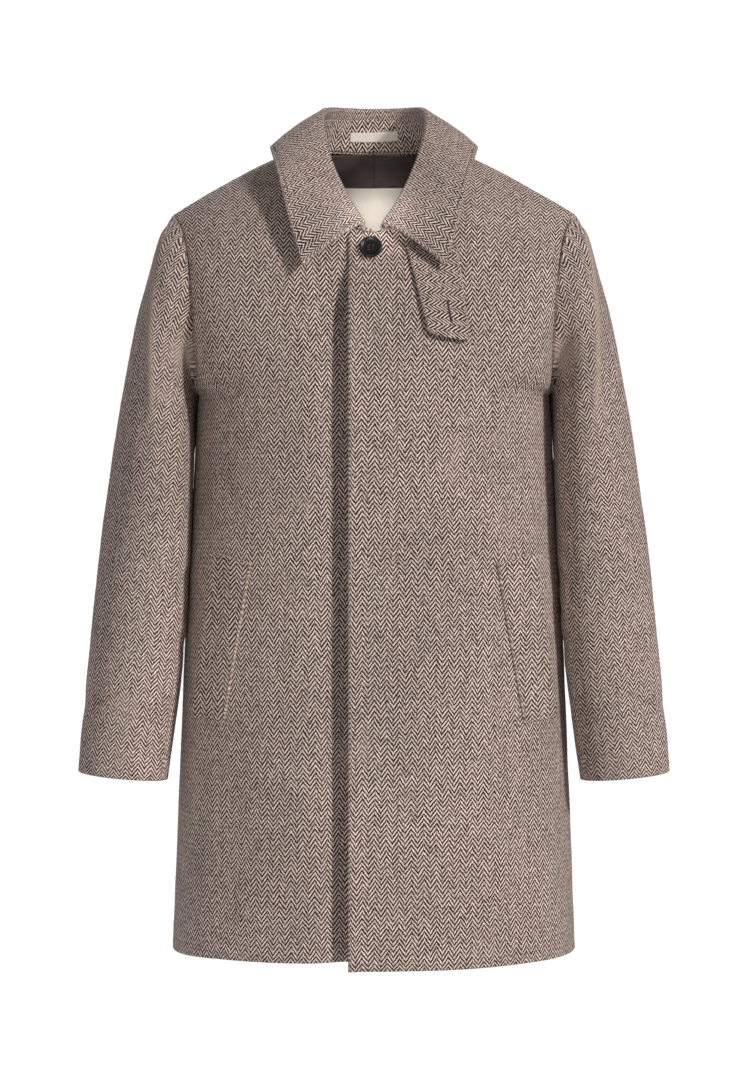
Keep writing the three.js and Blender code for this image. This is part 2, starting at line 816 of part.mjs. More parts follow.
function tabRows(panel) {
  const length = throatTab.topCentre[1] - throatTab.endCentre[1];
  const rows = [];
  for (let i = 0; i <= throatTab.rows; i += 1) {
    const down = Math.sin((i / throatTab.rows) * (Math.PI / 2));
    const left = length * (1 - down);
    const missing = Math.max(0, throatTab.cornerRadius - left);
    const corner = throatTab.cornerRadius - Math.sqrt(throatTab.cornerRadius ** 2 - missing ** 2);
    const half = mix(throatTab.topHalfWidth, throatTab.endHalfWidth, down) - corner;
    const row = [];
    for (let j = 0; j <= throatTab.columns; j += 1) {
      const across = mix(-half, half, j / throatTab.columns);
      const x = mix(throatTab.topCentre[0], throatTab.endCentre[0], down) + across;
      const middle = mix(throatTab.topCentre[1], throatTab.endCentre[1], down);
      const z = middle - across * throatTab.endSlant * down;
      row.push(moved(panel, x, z, restGap + throatTab.thickness));
    }
    rows.push(row);
  }
  return rows;
}

// The lining hangs from the back neckline inside the back
function liningRows(panel, side) {
  const rows = [];
  for (let i = 0; i <= lining.rows; i += 1) {
    const row = [];
    for (let j = 0; j <= lining.columns; j += 1) {
      const across = (lining.halfWidth * j) / lining.columns;
      const top = mix(lining.topAtCentre, lining.topAtSide, (across / lining.halfWidth) ** 2);
      const x = side * Math.max(across, seamGap / 2);
      row.push(moved(panel, x, mix(top, lining.bottomZ, i / lining.rows),
        -clothThickness - lining.gap));
    }
    rows.push(row);
  }
  return rows;
}

function labelRows(panel, label, offset) {
  const rows = [];
  for (let i = 0; i <= label.rows; i += 1) {
    const z = mix(label.topZ, label.bottomZ, i / label.rows);
    const row = [];
    for (let j = 0; j <= label.columns; j += 1) {
      row.push(moved(panel, mix(-label.halfWidth, label.halfWidth, j / label.columns), z, offset));
    }
    rows.push(row);
  }
  return rows;
}

// Button

function toManifold(geometry) {
  const bare = geometry.clone();
  bare.deleteAttribute('normal');
  bare.deleteAttribute('uv');
  const merged = mergeVertices(bare, 1e-4);
  return new wasm.Manifold(new wasm.Mesh({
    numProp: 3,
    vertProperties: new Float32Array(merged.attributes.position.array),
    triVerts: new Uint32Array(merged.index.array),
  }));
}

function fromManifold(solid) {
  const mesh = solid.getMesh();
  const geometry = new THREE.BufferGeometry();
  geometry.setAttribute('position', new THREE.BufferAttribute(mesh.vertProperties, 3));
  geometry.setIndex([...mesh.triVerts]);
  return geometry;
}

// A dished disc with a rounded rim, lying in XZ with its face up along Y
function buttonGeometry() {
  const { radius, thickness } = button;
  const profile = [
    [0, 0],
    [radius - 2, 0],
    [radius - 0.4, 0.9],
    [radius, 1.9],
    [radius - 0.5, thickness - 0.6],
    [radius - 1.5, thickness],
    [radius - 2.6, thickness - 0.3],
    [radius - 3.8, thickness - 1.3],
    [0, thickness - 1.5],
  ].map(([x, y]) => new THREE.Vector2(x, y));
  let solid = toManifold(new THREE.LatheGeometry(profile, button.sides));
  for (const sideX of [-1, 1]) {
    for (const sideZ of [-1, 1]) {
      const hole = new THREE.CylinderGeometry(
        button.holeRadius, button.holeRadius, thickness * 3, button.holeSides);
      hole.translate(sideX * button.holeSpacing, 0, sideZ * button.holeSpacing);
      solid = solid.subtract(toManifold(hole));
    }
  }
  return fromManifold(solid);
}

// Assembly

const sheets = {
  front_left: makeSheet(frontRows('front_left', hemOfLeftFront, overlapOfLeft, 0), true),
  front_right: makeSheet(
    frontRows('front_right', hemOfRightFront, underlapOfRight, layerStep)
      .map((row) => row.map(mirrored)),
  ),
  back: makeBackSheet(backRows()),
};

const sleeve = sleeveSheets();
for (const [part, rows] of Object.entries(sleeve)) {
  sheets[`sleeve_left_${part}`] = makeSheet(rows, true);
  sheets[`sleeve_right_${part}`] = makeSheet(rows.map((row) => row.map(mirrored)));
}
sheets.collar_fall = makeSheet(collarRows());
setNormals(sheets.collar_fall);
sheets.collar_stand = makeSheet(standSections(sheets.collar_fall));

const group = new THREE.Group();

function addPiece(name, geometry, colour, roughness) {
  const material = new THREE.MeshStandardMaterial({ color: colour, roughness, metalness: 0 });
  const mesh = new THREE.Mesh(geometry, material);
  mesh.name = name;
  group.add(mesh);
  return mesh;
}

Object.values(sheets).forEach(setNormals);
shareNormals(Object.values(sheets));
matchStandTop(sheets.collar_stand, sheets.collar_fall);

const laidOn = {
  welt_left: [makeSheet(weltRows(sheets.front_left, 1)), welt.thickness],
  welt_right: [makeSheet(weltRows(sheets.front_right, -1), true), welt.thickness],
  throat_tab: [makeSheet(tabRows(sheets.front_left), true), throatTab.thickness],
};
const liningDepth = clothThickness + lining.gap + lining.thickness + mainLabelGap;
const satin = {
  lining_left: [makeSheet(liningRows(sheets.back, 1)), lining.thickness],
  lining_right: [makeSheet(liningRows(sheets.back, -1), true), lining.thickness],
};
const labels = {
  label_main: [makeSheet(labelRows(sheets.back, mainLabel, -liningDepth)), mainLabel.thickness],
  label_small: [
    makeSheet(labelRows(sheets.collar_stand, smallLabel, -clothThickness - seamGap)),
    smallLabel.thickness,
  ],
};

for (const [name, sheet] of Object.entries(sheets)) {
  trimSheet(sheet, /collar|sleeve/.test(name) ? wideTrim : seamGap / 2);
  const thickness = name === 'collar_fall' ? collarThickness : clothThickness;
  addPiece(name, wallGeometry(sheet, thickness), woolColour, 0.95);
}
for (const [pieces, colour, roughness] of [
  [laidOn, woolColour, 0.95],
  [satin, satinColour, 0.45],
  [labels, labelColour, 0.5],
]) {
  for (const [name, [sheet, thickness]] of Object.entries(pieces)) {
    setNormals(sheet);
    addPiece(name, wallGeometry(sheet, thickness), colour, roughness);
  }
}

const buttonMesh = addPiece('button_neck', buttonGeometry(), hornColour, 0.35);
const buttonSeat = pointOver(sheets.front_left, button.x, button.z);
buttonMesh.quaternion.setFromUnitVectors(new THREE.Vector3(0, 1, 0), buttonSeat.normal);
buttonMesh.position.copy(buttonSeat.point).addScaledVector(buttonSeat.normal, button.gap);

export default group;
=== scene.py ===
import json
import math

import bmesh
import bpy
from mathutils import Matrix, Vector, noise

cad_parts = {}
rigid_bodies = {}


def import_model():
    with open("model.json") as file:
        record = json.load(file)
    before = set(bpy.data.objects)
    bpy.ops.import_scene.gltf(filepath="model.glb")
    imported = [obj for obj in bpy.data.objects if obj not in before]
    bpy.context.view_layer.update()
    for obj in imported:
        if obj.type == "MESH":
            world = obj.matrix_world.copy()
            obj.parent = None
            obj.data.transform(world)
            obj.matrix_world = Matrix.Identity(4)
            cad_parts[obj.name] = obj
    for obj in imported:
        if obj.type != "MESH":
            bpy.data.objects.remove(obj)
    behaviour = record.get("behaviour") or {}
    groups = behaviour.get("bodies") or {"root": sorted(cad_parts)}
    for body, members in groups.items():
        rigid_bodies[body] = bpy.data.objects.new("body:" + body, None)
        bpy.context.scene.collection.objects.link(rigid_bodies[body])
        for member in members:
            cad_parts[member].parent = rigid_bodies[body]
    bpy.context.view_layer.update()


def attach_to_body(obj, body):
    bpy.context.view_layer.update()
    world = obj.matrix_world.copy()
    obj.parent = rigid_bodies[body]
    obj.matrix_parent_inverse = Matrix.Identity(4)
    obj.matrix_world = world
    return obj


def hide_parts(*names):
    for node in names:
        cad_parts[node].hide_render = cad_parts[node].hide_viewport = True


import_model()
print("frame loaded")

# Sizes are in millimetres, as in the part's source, until a mesh is made from them.
# +X is the wearer's left, the front faces -Y, and the origin is in the neck.

cloth = {"thickness": 3.0, "trim": 0.15, "rim": 1.2, "rimSteps": 4, "rimNap": 0.8}


def listOf(names, *rows):
    return [dict(zip(names.split(), row)) for row in rows]


def mix(a, b, share):
    return a + (b - a) * share


def ease(start, end, value):
    share = min(1, max(0, (value - start) / (end - start)))
    return share * share * (3 - 2 * share)


def bell(distance, width):
    return math.exp(-((distance / width) ** 2))


def lookUp(table, by, at, name):
    # a column's value, smooth between the rows and held beyond the ends
    last = len(table) - 1
    forward = 1 if table[last][by] > table[0][by] else -1
    i = 0
    while i < last - 1 and (at - table[i + 1][by]) * forward > 0:
        i += 1
    here, after = table[i], table[i + 1]
    span = after[by] - here[by]
    share = min(1, max(0, (at - here[by]) / span))
    before, beyond = table[max(0, i - 1)], table[min(last, i + 2)]
    slopeHere = (after[name] - before[name]) / (after[by] - before[by]) * span
    slopeNext = (beyond[name] - here[name]) / (beyond[by] - here[by]) * span
    square, cube = share ** 2, share ** 3
    return (
        (2 * cube - 3 * square + 1) * here[name]
        + (cube - 2 * square + share) * slopeHere
        + (3 * square - 2 * cube) * after[name]
        + (cube - square) * slopeNext
    )


def vectorFrom(table, by, at, names):
    return Vector([lookUp(table, by, at, name) for name in names.split()])


def cubicPoint(points, share):
    rest = 1 - share
    return (
        points[0] * rest ** 3
        + points[1] * (3 * rest * rest * share)
        + points[2] * (3 * rest * share * share)
        + points[3] * share ** 3
    )


def mirrored(point):
    return Vector((-point.x, point.y, point.z))


def creaseHeight(creases, across, up):
    # soft troughs and ridges along straight lines; each fades out at both ends
    height = 0
    for startX, startZ, endX, endZ, width, rise in creases:
        alongX, alongZ = endX - startX, endZ - startZ
        length = math.hypot(alongX, alongZ)
        share = ((across - startX) * alongX + (up - startZ) * alongZ) / length ** 2
        if 0 < share < 1:
            apart = ((across - startX) * alongZ - (up - startZ) * alongX) / length
            height += rise * bell(apart, width) * ease(0, 0.3, share) * ease(1, 0.7, share)
    return height


def unevenness(point):
    # the slight waviness of thick cloth, the same on both sides of a seam
    return 0.55 * noise.noise(point * 0.021) + 0.22 * noise.noise(point * 0.07)


# sheets and walls


class Sheet:
    # a surface of quads with a place in the weave and an edge distance for each point

    def __init__(self, rows, flip=False):
        self.points, self.ids, self.quads = [], [], []
        for row in rows:
            self.ids.append(range(len(self.points), len(self.points) + len(row)))
            self.points.extend(point.copy() for point in row)
        for here, there in zip(self.ids, self.ids[1:]):
            for j in range(min(len(here), len(there)) - 1):
                quad = [here[j], here[j + 1], there[j + 1], there[j]]
                self.quads.append(quad[::-1] if flip else quad)
        self.weave = [(0, 0)] * len(self.points)
        self.edge = [100] * len(self.points)
        self.nap = [0] * len(self.points)
        self.rims = {}

    def setNormals(self):
        self.normals = [Vector() for point in self.points]
        for quad in self.quads:
            a, b, c, d = [self.points[i] for i in quad]
            normal = (c - a).cross(d - b)
            for i in quad:
                self.normals[i] += normal
        for normal in self.normals:
            normal.normalize()

    def place(self, values, rows):
        # values[i][j] of a grid go to the points of the same places
        target = getattr(self, values)
        for ids, row in zip(self.ids, rows):
            for i, value in zip(ids, row):
                target[i] = value

    def boundary(self):
        edges = {}
        for quad in self.quads:
            for a, b in zip(quad, quad[1:] + quad[:1]):
                if not edges.pop((b, a), False):
                    edges[(a, b)] = True
        return list(edges)

    def area(self):
        # of both sides' middle, in square metres
        total = 0
        for quad in self.quads:
            a, b, c, d = [self.points[i] for i in quad]
            total += (c - a).cross(d - b).length / 2
        return total / 1e6


def shareNormals(sheets):
    groups = {}
    for sheet in sheets:
        for point, normal in zip(sheet.points, sheet.normals):
            groups.setdefault(tuple(round(value * 50) for value in point), []).append(normal)
    for group in groups.values():
        total = sum(group, Vector()).normalized()
        for normal in group:
            normal[:] = total


def inwards(sheet):
    # for each boundary point, the direction in the surface that leads away from the edge
    moves = {}
    for a, b in sheet.boundary():
        along = sheet.points[b] - sheet.points[a]
        for i in (a, b):
            inward = sheet.normals[i].cross(along).normalized()
            moves[i] = moves.get(i, Vector()) + inward
    return {i: move.normalized() for i, move in moves.items()}


def wallMesh(name, sheet, thickness=cloth["thickness"], rim=cloth["rim"], trim=cloth["trim"]):
    # a closed wall, its rim rounded, in metres
    steps = cloth["rimSteps"]
    inward = inwards(sheet)
    outer = [point.copy() for point in sheet.points]
    for i, move in inward.items():
        outer[i] += move * sum(sheet.rims.get(i, (trim, rim)))
    inner = [point - normal * thickness for point, normal in zip(outer, sheet.normals)]
    points = outer + inner
    source = list(range(len(outer))) * 2
    rings = {}
    for i, move in inward.items():
        middle = (outer[i] + inner[i]) / 2
        half = (outer[i] - inner[i]) / 2
        depth = sheet.rims.get(i, (trim, rim))[1]
        rings[i] = [i]
        for k in range(1, steps):
            angle = math.pi * k / steps
            rings[i].append(len(points))
            points.append(middle + half * math.cos(angle) - move * (depth * math.sin(angle)))
            source.append(i)
        rings[i].append(i + len(outer))
    faces = [list(quad) for quad in sheet.quads]
    faces += [[i + len(outer) for i in quad[::-1]] for quad in sheet.quads]
    for a, b in sheet.boundary():
        for k in range(steps):
            faces.append([rings[b][k], rings[a][k], rings[a][k + 1], rings[b][k + 1]])
    mesh = bpy.data.meshes.new(name)
    mesh.from_pydata([point / 1000 for point in points], [], faces)
    mesh.shade_smooth()
    weave = mesh.uv_layers.new(name="weave")
    for loop in mesh.loops:
        u, v = sheet.weave[source[loop.vertex_index]]
        weave.data[loop.index].uv = (u / 1000, v / 1000)
    nap = [sheet.nap[i] for i in source]
    for k in range(2 * len(outer), len(points)):
        nap[k] = max(nap[k], cloth["rimNap"])
    for label, values in (("edge", [sheet.edge[i] for i in source]), ("nap", nap)):
        mesh.attributes.new(label, "FLOAT", "POINT").data.foreach_set("value", values)
    mesh.validate()
    piece = bpy.data.objects.new(name, mesh)
    bpy.context.scene.collection.objects.link(piece)
    return piece


cellSize = 12


def cellsOf(sheet):
    # the quads near each place seen along Y
    cells = {}
    for quad in sheet.quads:
        xs = [sheet.points[i].x // cellSize for i in quad]
        zs = [sheet.points[i].z // cellSize for i in quad]
        for column in range(int(min(xs)), int(max(xs)) + 1):
            for row in range(int(min(zs)), int(max(zs)) + 1):
                cells.setdefault((column, row), []).append(quad)
    return cells


def pointOver(sheet, x, z):
    # the point and normal of a sheet at a place seen along Y
    if not hasattr(sheet, "cells"):
        sheet.cells = cellsOf(sheet)
    for quad in sheet.cells.get((int(x // cellSize), int(z // cellSize)), []):
        for corners in ((quad[0], quad[1], quad[2]), (quad[0], quad[2], quad[3])):
            p, q, r = [sheet.points[i] for i in corners]
            size = (q.x - p.x) * (r.z - p.z) - (r.x - p.x) * (q.z - p.z)
            if abs(size) < 1e-9:
                continue
            atQ = ((x - p.x) * (r.z - p.z) - (r.x - p.x) * (z - p.z)) / size
            atR = ((q.x - p.x) * (z - p.z) - (x - p.x) * (q.z - p.z)) / size
            if atQ >= -1e-4 and atR >= -1e-4 and atQ + atR <= 1.0001:
                point, normal = Vector(), Vector()
                for i, weight in zip(corners, (1 - atQ - atR, atQ, atR)):
                    point += sheet.points[i] * weight
                    normal += sheet.normals[i] * weight
                return point, normal.normalized()
    raise ValueError(f"no cloth at {x}, {z}")


def over(sheet, x, z, offset):
    point, normal = pointOver(sheet, x, z)
    return point + normal * offset


def lengths(points):
    # distances along a line of points, from its first one
    total, result = 0, [0]
    for here, there in zip(points, points[1:]):
        total += (there - here).length
        result.append(total)
    return result


# body panels

body = {
    "armpitZ": -270,
    "hemAtSide": -885,
    "hemAtBack": -885,
    "hemOfLeftFront": -888,
    "hemOfRightFront": -880,
    "sideSeamY": 2,
    "roundness": 0.6,
    "columns": 44,
    "columnCrowding": 1.3,
    "rowsToArmpit": 72,
    "rowsToShoulder": 42,
    "frontNeckRow": 27,
    "backNeckRow": 30,
    "overlap": 27.5,
    "underlap": 25,
    "overlapColumns": 7,
    "layerStep": 3.8,
    "stepFade": (32, 78),
    "weaveRise": 0.0024,
    "weaveRiseFrom": -130,
}
bodySections = listOf(
    "z halfWidth front back",
    (-885, 225, 150, 140),
    (-744, 219.5, 148, 136),
    (-631, 215, 146, 131),
    (-553, 212, 144, 128),
    (-497, 209, 143, 126),
    (-385, 203, 141, 126),
    (-296, 198, 140, 131),
    (-270, 196, 139.5, 133),
)
centreLines = {
    "front": listOf("z y", (-270, -139.5), (-215, -136), (-160, -127), (-125, -115), (-98, -106)),
    "back": listOf(
        "z y", (-270, 133), (-200, 137), (-130, 135), (-70, 121), (-30, 103), (0, 82), (15, 69)
    ),
}
armhole = {
    "front": listOf(
        "share x y z",
        (0, 196, 2, -270),
        (0.143, 195.5, -38, -262),
        (0.286, 195.5, -63, -232),
        (0.429, 197, -73, -190),
        (0.571, 200.5, -71, -147),
        (0.714, 205.5, -58, -112),
        (0.857, 213.5, -35, -84),
        (1, 225, 0, -66),
    ),
    "back": listOf(
        "share x y z",
        (0, 196, 2, -270),
        (0.143, 194, 42, -263),
        (0.286, 191, 70, -232),
        (0.429, 190, 80, -190),
        (0.571, 193, 79, -147),
        (0.714, 200, 66, -110),
        (0.857, 211, 42, -82),
        (1, 225, 0, -66),
    ),
}
rowPulls = {
    "front": listOf(
        "share fromX fromY fromZ toX toY toZ",
        (0, 0, -84, 0, 118, 0, 0),
        (0.35, -8, -44, 4, 84, 0, 0),
        (0.65, -22, -28, 9, 62, 0, 0),
        (1, -42, 0, 26, 40, 0, -12),
    ),
    "back": listOf(
        "share fromX fromY fromZ toX toY toZ",
        (0, 0, 80, 0, 118, 0, 0),
        (0.35, -8, 44, 6, 84, 0, 0),
        (0.72, -24, 28, 16, 58, 0, 0),
        (1, -42, 0, 26, 40, 0, -12),
    ),
}
neckline = {
    "front": [Vector(p) for p in ((0, -106, -98), (44, -106, -95), (84, -66, -26), (82, -5, 7))],
    "back": [Vector(p) for p in ((0, 69, 15), (40, 69, 15), (76, 36, 13), (82, -5, 7))],
}
bodyFolds = listOf(
    "panel at width height startZ fullZ",
    ("frontLeft", 0.3, 0.15, 2.4, -430, -800),
    ("frontLeft", 0.52, 0.15, -2, -520, -840),
    ("frontLeft", 0.7, 0.14, 1.6, -470, -760),
    ("frontRight", 0.27, 0.15, 2, -480, -820),
    ("frontRight", 0.49, 0.15, -2.2, -400, -780),
    ("frontRight", 0.68, 0.14, 1.8, -560, -850),
    ("back", 0.3, 0.16, 4, -380, -800),
    ("back", 0.55, 0.15, -3.4, -420, -820),
    ("back", 0.8, 0.15, 3, -460, -780),
)
# each crease: x and z of both ends, its width and how far it rises; x is signed on the
# back and counts outwards from the closing on the fronts
bodyCreases = {
    "frontLeft": [
        (190, -292, 148, -410, 8, -1.6),
        (184, -318, 160, -470, 11, 1.1),
        (165, -655, 168, -800, 9, -1.3),
        (120, -450, 131, -870, 20, 1.1),
        (62, -540, 67, -880, 15, -0.9),
        (96, -190, 118, -330, 18, -0.8),
        (34, -300, 36, -700, 10, -0.5),
    ],
    "frontRight": [
        (190, -290, 138, -425, 8, -1.7),
        (182, -322, 152, -480, 11, 1.2),
        (100, -490, 102, -665, 9, -1.2),
        (150, -640, 158, -880, 16, -1.4),
        (58, -600, 63, -880, 15, 0.9),
        (98, -180, 112, -320, 18, -0.9),
    ],
    "back": [
        (-176, -296, -96, -430, 11, -2.0),
        (172, -288, 84, -412, 11, -2.2),
        (-62, -470, -74, -880, 19, 1.8),
        (28, -500, 36, -880, 17, -1.7),
        (112, -540, 121, -880, 16, 1.7),
        (-150, -600, -160, -880, 14, -1.3),
        (-78, -46, 74, -44, 8, -1.3),
        (-120, -92, 116, -98, 14, 0.9),
        (-88, -336, 70, -352, 16, -1.2),
    ],
}


def bodyRow(face, level, hemAtCentre):
    # the control points across one half of a panel: level 0 is the hem, 1 the armpit,
    # 2 the shoulder seam
    forward = -1 if face == "front" else 1
    if level <= 1:
        z = mix(body["hemAtSide"], body["armpitZ"], level)
        halfWidth = lookUp(bodySections, "z", z, "halfWidth")
        depth = forward * lookUp(bodySections, "z", z, face)
        centreZ = mix(hemAtCentre, body["armpitZ"], level)
        roundness = body["roundness"]
        return [
            Vector((halfWidth, body["sideSeamY"], z)),
            Vector((halfWidth, body["sideSeamY"] + depth * roundness, z)),
            Vector((halfWidth * roundness, depth, centreZ)),
            Vector((0, depth, centreZ)),
        ]
    share = level - 1
    start = vectorFrom(armhole[face], "share", share, "x y z")
    leaving = vectorFrom(rowPulls[face], "share", share, "fromX fromY fromZ")
    reaching = vectorFrom(rowPulls[face], "share", share, "toX toY toZ")
    end = rowEnd(face, share)
    return [start, start + leaving, end + reaching, end]


def rowEnd(face, share):
    neckShare = body[face + "NeckRow"] / body["rowsToShoulder"]
    centre = centreLines[face]
    if share <= neckShare + 1e-9:
        z = mix(body["armpitZ"], centre[-1]["z"], share / neckShare)
        return Vector((0, lookUp(centre, "z", z, "y"), z))
    return cubicPoint(neckline[face], (share - neckShare) / (1 - neckShare))


def foldHeight(panel, at, z):
    height = 0
    for fold in bodyFolds:
        if fold["panel"] == panel:
            fade = ease(fold["startZ"], fold["fullZ"], z) * ease(0, 0.15, at)
            height += fold["height"] * fade * bell(at - fold["at"], fold["width"])
    return height


def rowShares():
    count = body["columns"]
    return [1 - (1 - j / count) ** body["columnCrowding"] for j in range(count + 1)]


def pointBeyond(controls, distance):
    low, high = 0, 1
    for step in range(24):
        middle = (low + high) / 2
        if cubicPoint(controls, middle).x > distance:
            low = middle
        else:
            high = middle
    return mirrored(cubicPoint(controls, low))


def levelOfRow(i):
    rows = body["rowsToArmpit"]
    return i / rows if i <= rows else 1 + (i - rows) / body["rowsToShoulder"]


def stepBack(step, x):
    return step * (1 - ease(*body["stepFade"], x))


placket = {
    "stitchX": 24.7,
    "topZ": -128,
    "endZ": -800,
    "rise": 0.7,
    "groove": -0.8,
    "edgeLift": 4.6,
    "underSink": -11,
    "sinkWidth": 24,
    "fadeLength": 60,
    "stitchEase": 6,
    "edgeWidth": 13,
    "endEase": 40,
    "grooveWidth": 3.2,
}


def placketFade(point):
    return ease(placket["topZ"], placket["topZ"] - placket["fadeLength"], point.z)


def placketHeight(point):
    # the covered closing is thicker up to its stitched line
    stitchX, endZ, endEase = placket["stitchX"], placket["endZ"], placket["endEase"]
    rise = placket["rise"] * (1 - ease(stitchX - placket["stitchEase"], stitchX, point.x))
    rise += placket["edgeLift"] * bell(point.x + body["overlap"], placket["edgeWidth"])
    ends = ease(endZ - endEase, endZ + endEase, point.z)
    groove = placket["groove"] * bell(point.x - stitchX, placket["grooveWidth"]) * ends
    return (rise + groove) * placketFade(point)


def underHeight(point):
    # the front below sinks beside the closing's edge
    apart = bell(point.x - body["overlap"], placket["sinkWidth"])
    return placket["underSink"] * apart * placketFade(point)


def panelRows(panel, face, hemAtCentre, reach=0, step=0, side=1):
    # rows of points in the left half's coordinates; step sets a front back under the other
    forward = -1 if face == "front" else 1
    rows = []
    for i in range(body["rowsToArmpit"] + body["rowsToShoulder"] + 1):
        controls = bodyRow(face, levelOfRow(i), hemAtCentre)
        row = []
        for at in rowShares():
            point = cubicPoint(controls, at)
            inside = ease(0, 0.08, at)
            height = foldHeight(panel, at, point.z)
            height += creaseHeight(bodyCreases[panel], point.x * side, point.z) * inside
            point.y += forward * height
            row.append(point)
        if reach and i <= body["rowsToArmpit"] + body["frontNeckRow"]:
            for k in range(1, body["overlapColumns"] + 1):
                row.append(pointBeyond(controls, reach * k / body["overlapColumns"]))
        for point in row:
            point.y += stepBack(step, point.x)
            if panel == "frontLeft":
                point.y -= placketHeight(point)
            if panel == "frontRight":
                point.y -= underHeight(point)
        rows.append(row)
    return rows


def panelWeave(rows, side):
    # columns of the weave stand upright, counted from the centre line
    weave = []
    for row in rows:
        middle = min(body["columns"], len(row) - 1)
        total = row[middle].x
        places = {middle: total}
        for j in range(middle - 1, -1, -1):
            total += math.hypot(row[j].x - row[j + 1].x, row[j].y - row[j + 1].y)
            places[j] = total
        for j in range(middle + 1, len(row)):
            places[j] = row[j].x
        line = []
        for j, point in enumerate(row):
            rise = body["weaveRise"] * max(0, point.z - body["weaveRiseFrom"]) ** 2
            line.append((side * places[j], point.z + rise))
        weave.append(line)
    return weave


def makeBack():
    # one panel: its halves share the centre line up to the neck
    left = panelRows("back", "back", body["hemAtBack"], side=1)
    right = panelRows("back", "back", body["hemAtBack"], side=-1)
    sheet = Sheet(left)
    other = Sheet([[mirrored(point) for point in row] for row in right], True)
    sheet.place("weave", panelWeave(left, 1))
    other.place("weave", panelWeave(right, -1))
    offset = len(sheet.points)
    merged = [i + offset for i in range(len(other.points))]
    for i in range(body["rowsToArmpit"] + body["backNeckRow"] + 1):
        merged[other.ids[i][body["columns"]]] = sheet.ids[i][body["columns"]]
    points = sheet.points + other.points
    weave = sheet.weave + other.weave
    quads = sheet.quads + [[merged[i] for i in quad] for quad in other.quads]
    used = sorted({i for quad in quads for i in quad})
    place = {i: k for k, i in enumerate(used)}
    sheet.points = [points[i] for i in used]
    sheet.weave = [weave[i] for i in used]
    sheet.quads = [[place[i] for i in quad] for quad in quads]
    sheet.edge = [100] * len(used)
    sheet.nap = [0] * len(used)
    return sheet


def makeFront(panel):
    left = panel == "frontLeft"
    hem = body["hemOfLeftFront" if left else "hemOfRightFront"]
    reach = body["overlap" if left else "underlap"]
    rows = panelRows(panel, "front", hem, reach, 0 if left else body["layerStep"])
    side = 1 if left else -1
    placed = rows if left else [[mirrored(point) for point in row] for row in rows]
    sheet = Sheet(placed, left)
    sheet.place("weave", panelWeave(rows, side))
    return sheet


# sleeves

sleeve = {
    "rows": 102,
    "frontSeam": 6,
    "hindSeam": 66,
    "clearance": 0.15,
    "wornAt": (206, -228, 16),
    "depthShare": 0.42,
    "headRise": 1.2,
    "armpitPress": 3.0,
    "leanDepth": (-12, 14),
    "leanSpread": 0.11,
    "leanEnd": (-490, -570),
    "ridgeHeight": 3.4,
    "ridgeWidth": 5.5,
    "troughDepth": 3.0,
    "troughWidth": 8,
    "troughOffset": 13,
    "ridgeTop": (-70, -95),
    "ridgeEnd": (-330, -245),
    "ridgeNapWidth": 3.2,
    "ridgeNap": {"front": 0.9, "hind": 0.5},
    "hindFromY": 40,
    "wornNap": 0.95,
    "headTurn": 0.13,
    "headAt": 0.034,
    "headSpread": 0.024,
    "pressAbove": 14,
    "pressSpread": 16,
}
sleeveRings = listOf(
    "outX outY outZ inX inY inZ halfDepth",
    (236, 0, -87, 198, 2, -268, 79),
    (250, -1, -124, 199, 0, -277, 80),
    (263, -3, -172, 199.5, -8, -291, 79),
    (274, -6, -232, 199.5, -18, -315, 76),
    (285, -9, -296, 199.5, -27, -348, 72),
    (295, -12, -365, 201, -33, -396, 67),
    (304, -15, -432, 203, -36, -450, 62),
    (311.5, -19, -505, 206, -37, -517, 57),
    (318, -23, -575, 213, -37, -585, 53),
    (323.5, -27, -635, 221, -37, -645, 50),
    (327.5, -30, -686, 228, -36, -695, 48),
)
capRidge = listOf(
    "z x", (-80, 229), (-91, 234), (-144, 241.5), (-198, 244), (-240, 243), (-290, 241)
)
# creases across the sleeve; turn goes round it: 0 inside, 0.25 front, 0.5 outside
sleeveCreases = {
    "both": listOf(
        "z slope turn spread width height",
        (-455, 0.35, 0.1, 0.16, 13, -2.4),
        (-492, 0.25, 0.9, 0.14, 12, -2.6),
        (-530, 0.3, 0.06, 0.15, 12, -2),
        (-600, -0.2, 0.4, 0.16, 16, -1.6),
    ),
    "Left": listOf(
        "z slope turn spread width height",
        (-352, 0.5, 0.16, 0.12, 9, -1.1),
        (-404, 0.4, 0.2, 0.12, 11, 1.0),
        (-430, -0.3, 0.82, 0.12, 10, -1.6),
        (-655, 0.1, 0.22, 0.15, 12, 0.8),
    ),
    "Right": listOf(
        "z slope turn spread width height",
        (-338, 0.55, 0.15, 0.12, 9, -1.2),
        (-420, 0.35, 0.19, 0.12, 12, 0.9),
        (-468, -0.35, 0.8, 0.12, 10, -1.4),
        (-560, 0.2, 0.3, 0.13, 13, -0.7),
    ),
}


def ringPoint(ring, turn):
    # ring 0 is the armhole itself, the others come from the table
    if ring == 0:
        face = "front" if turn <= 0.5 else "back"
        share = turn * 2 if turn <= 0.5 else 2 - turn * 2
        return bodyRow(face, 1 + share, body["hemAtBack"])[0]
    row = sleeveRings[ring - 1]
    angle = turn * 2 * math.pi
    inward = (1 + math.cos(angle)) / 2
    return Vector((
        mix(row["outX"], row["inX"], inward),
        mix(row["outY"], row["inY"], inward) - row["halfDepth"] * math.sin(angle),
        mix(row["outZ"], row["inZ"], inward),
    ))


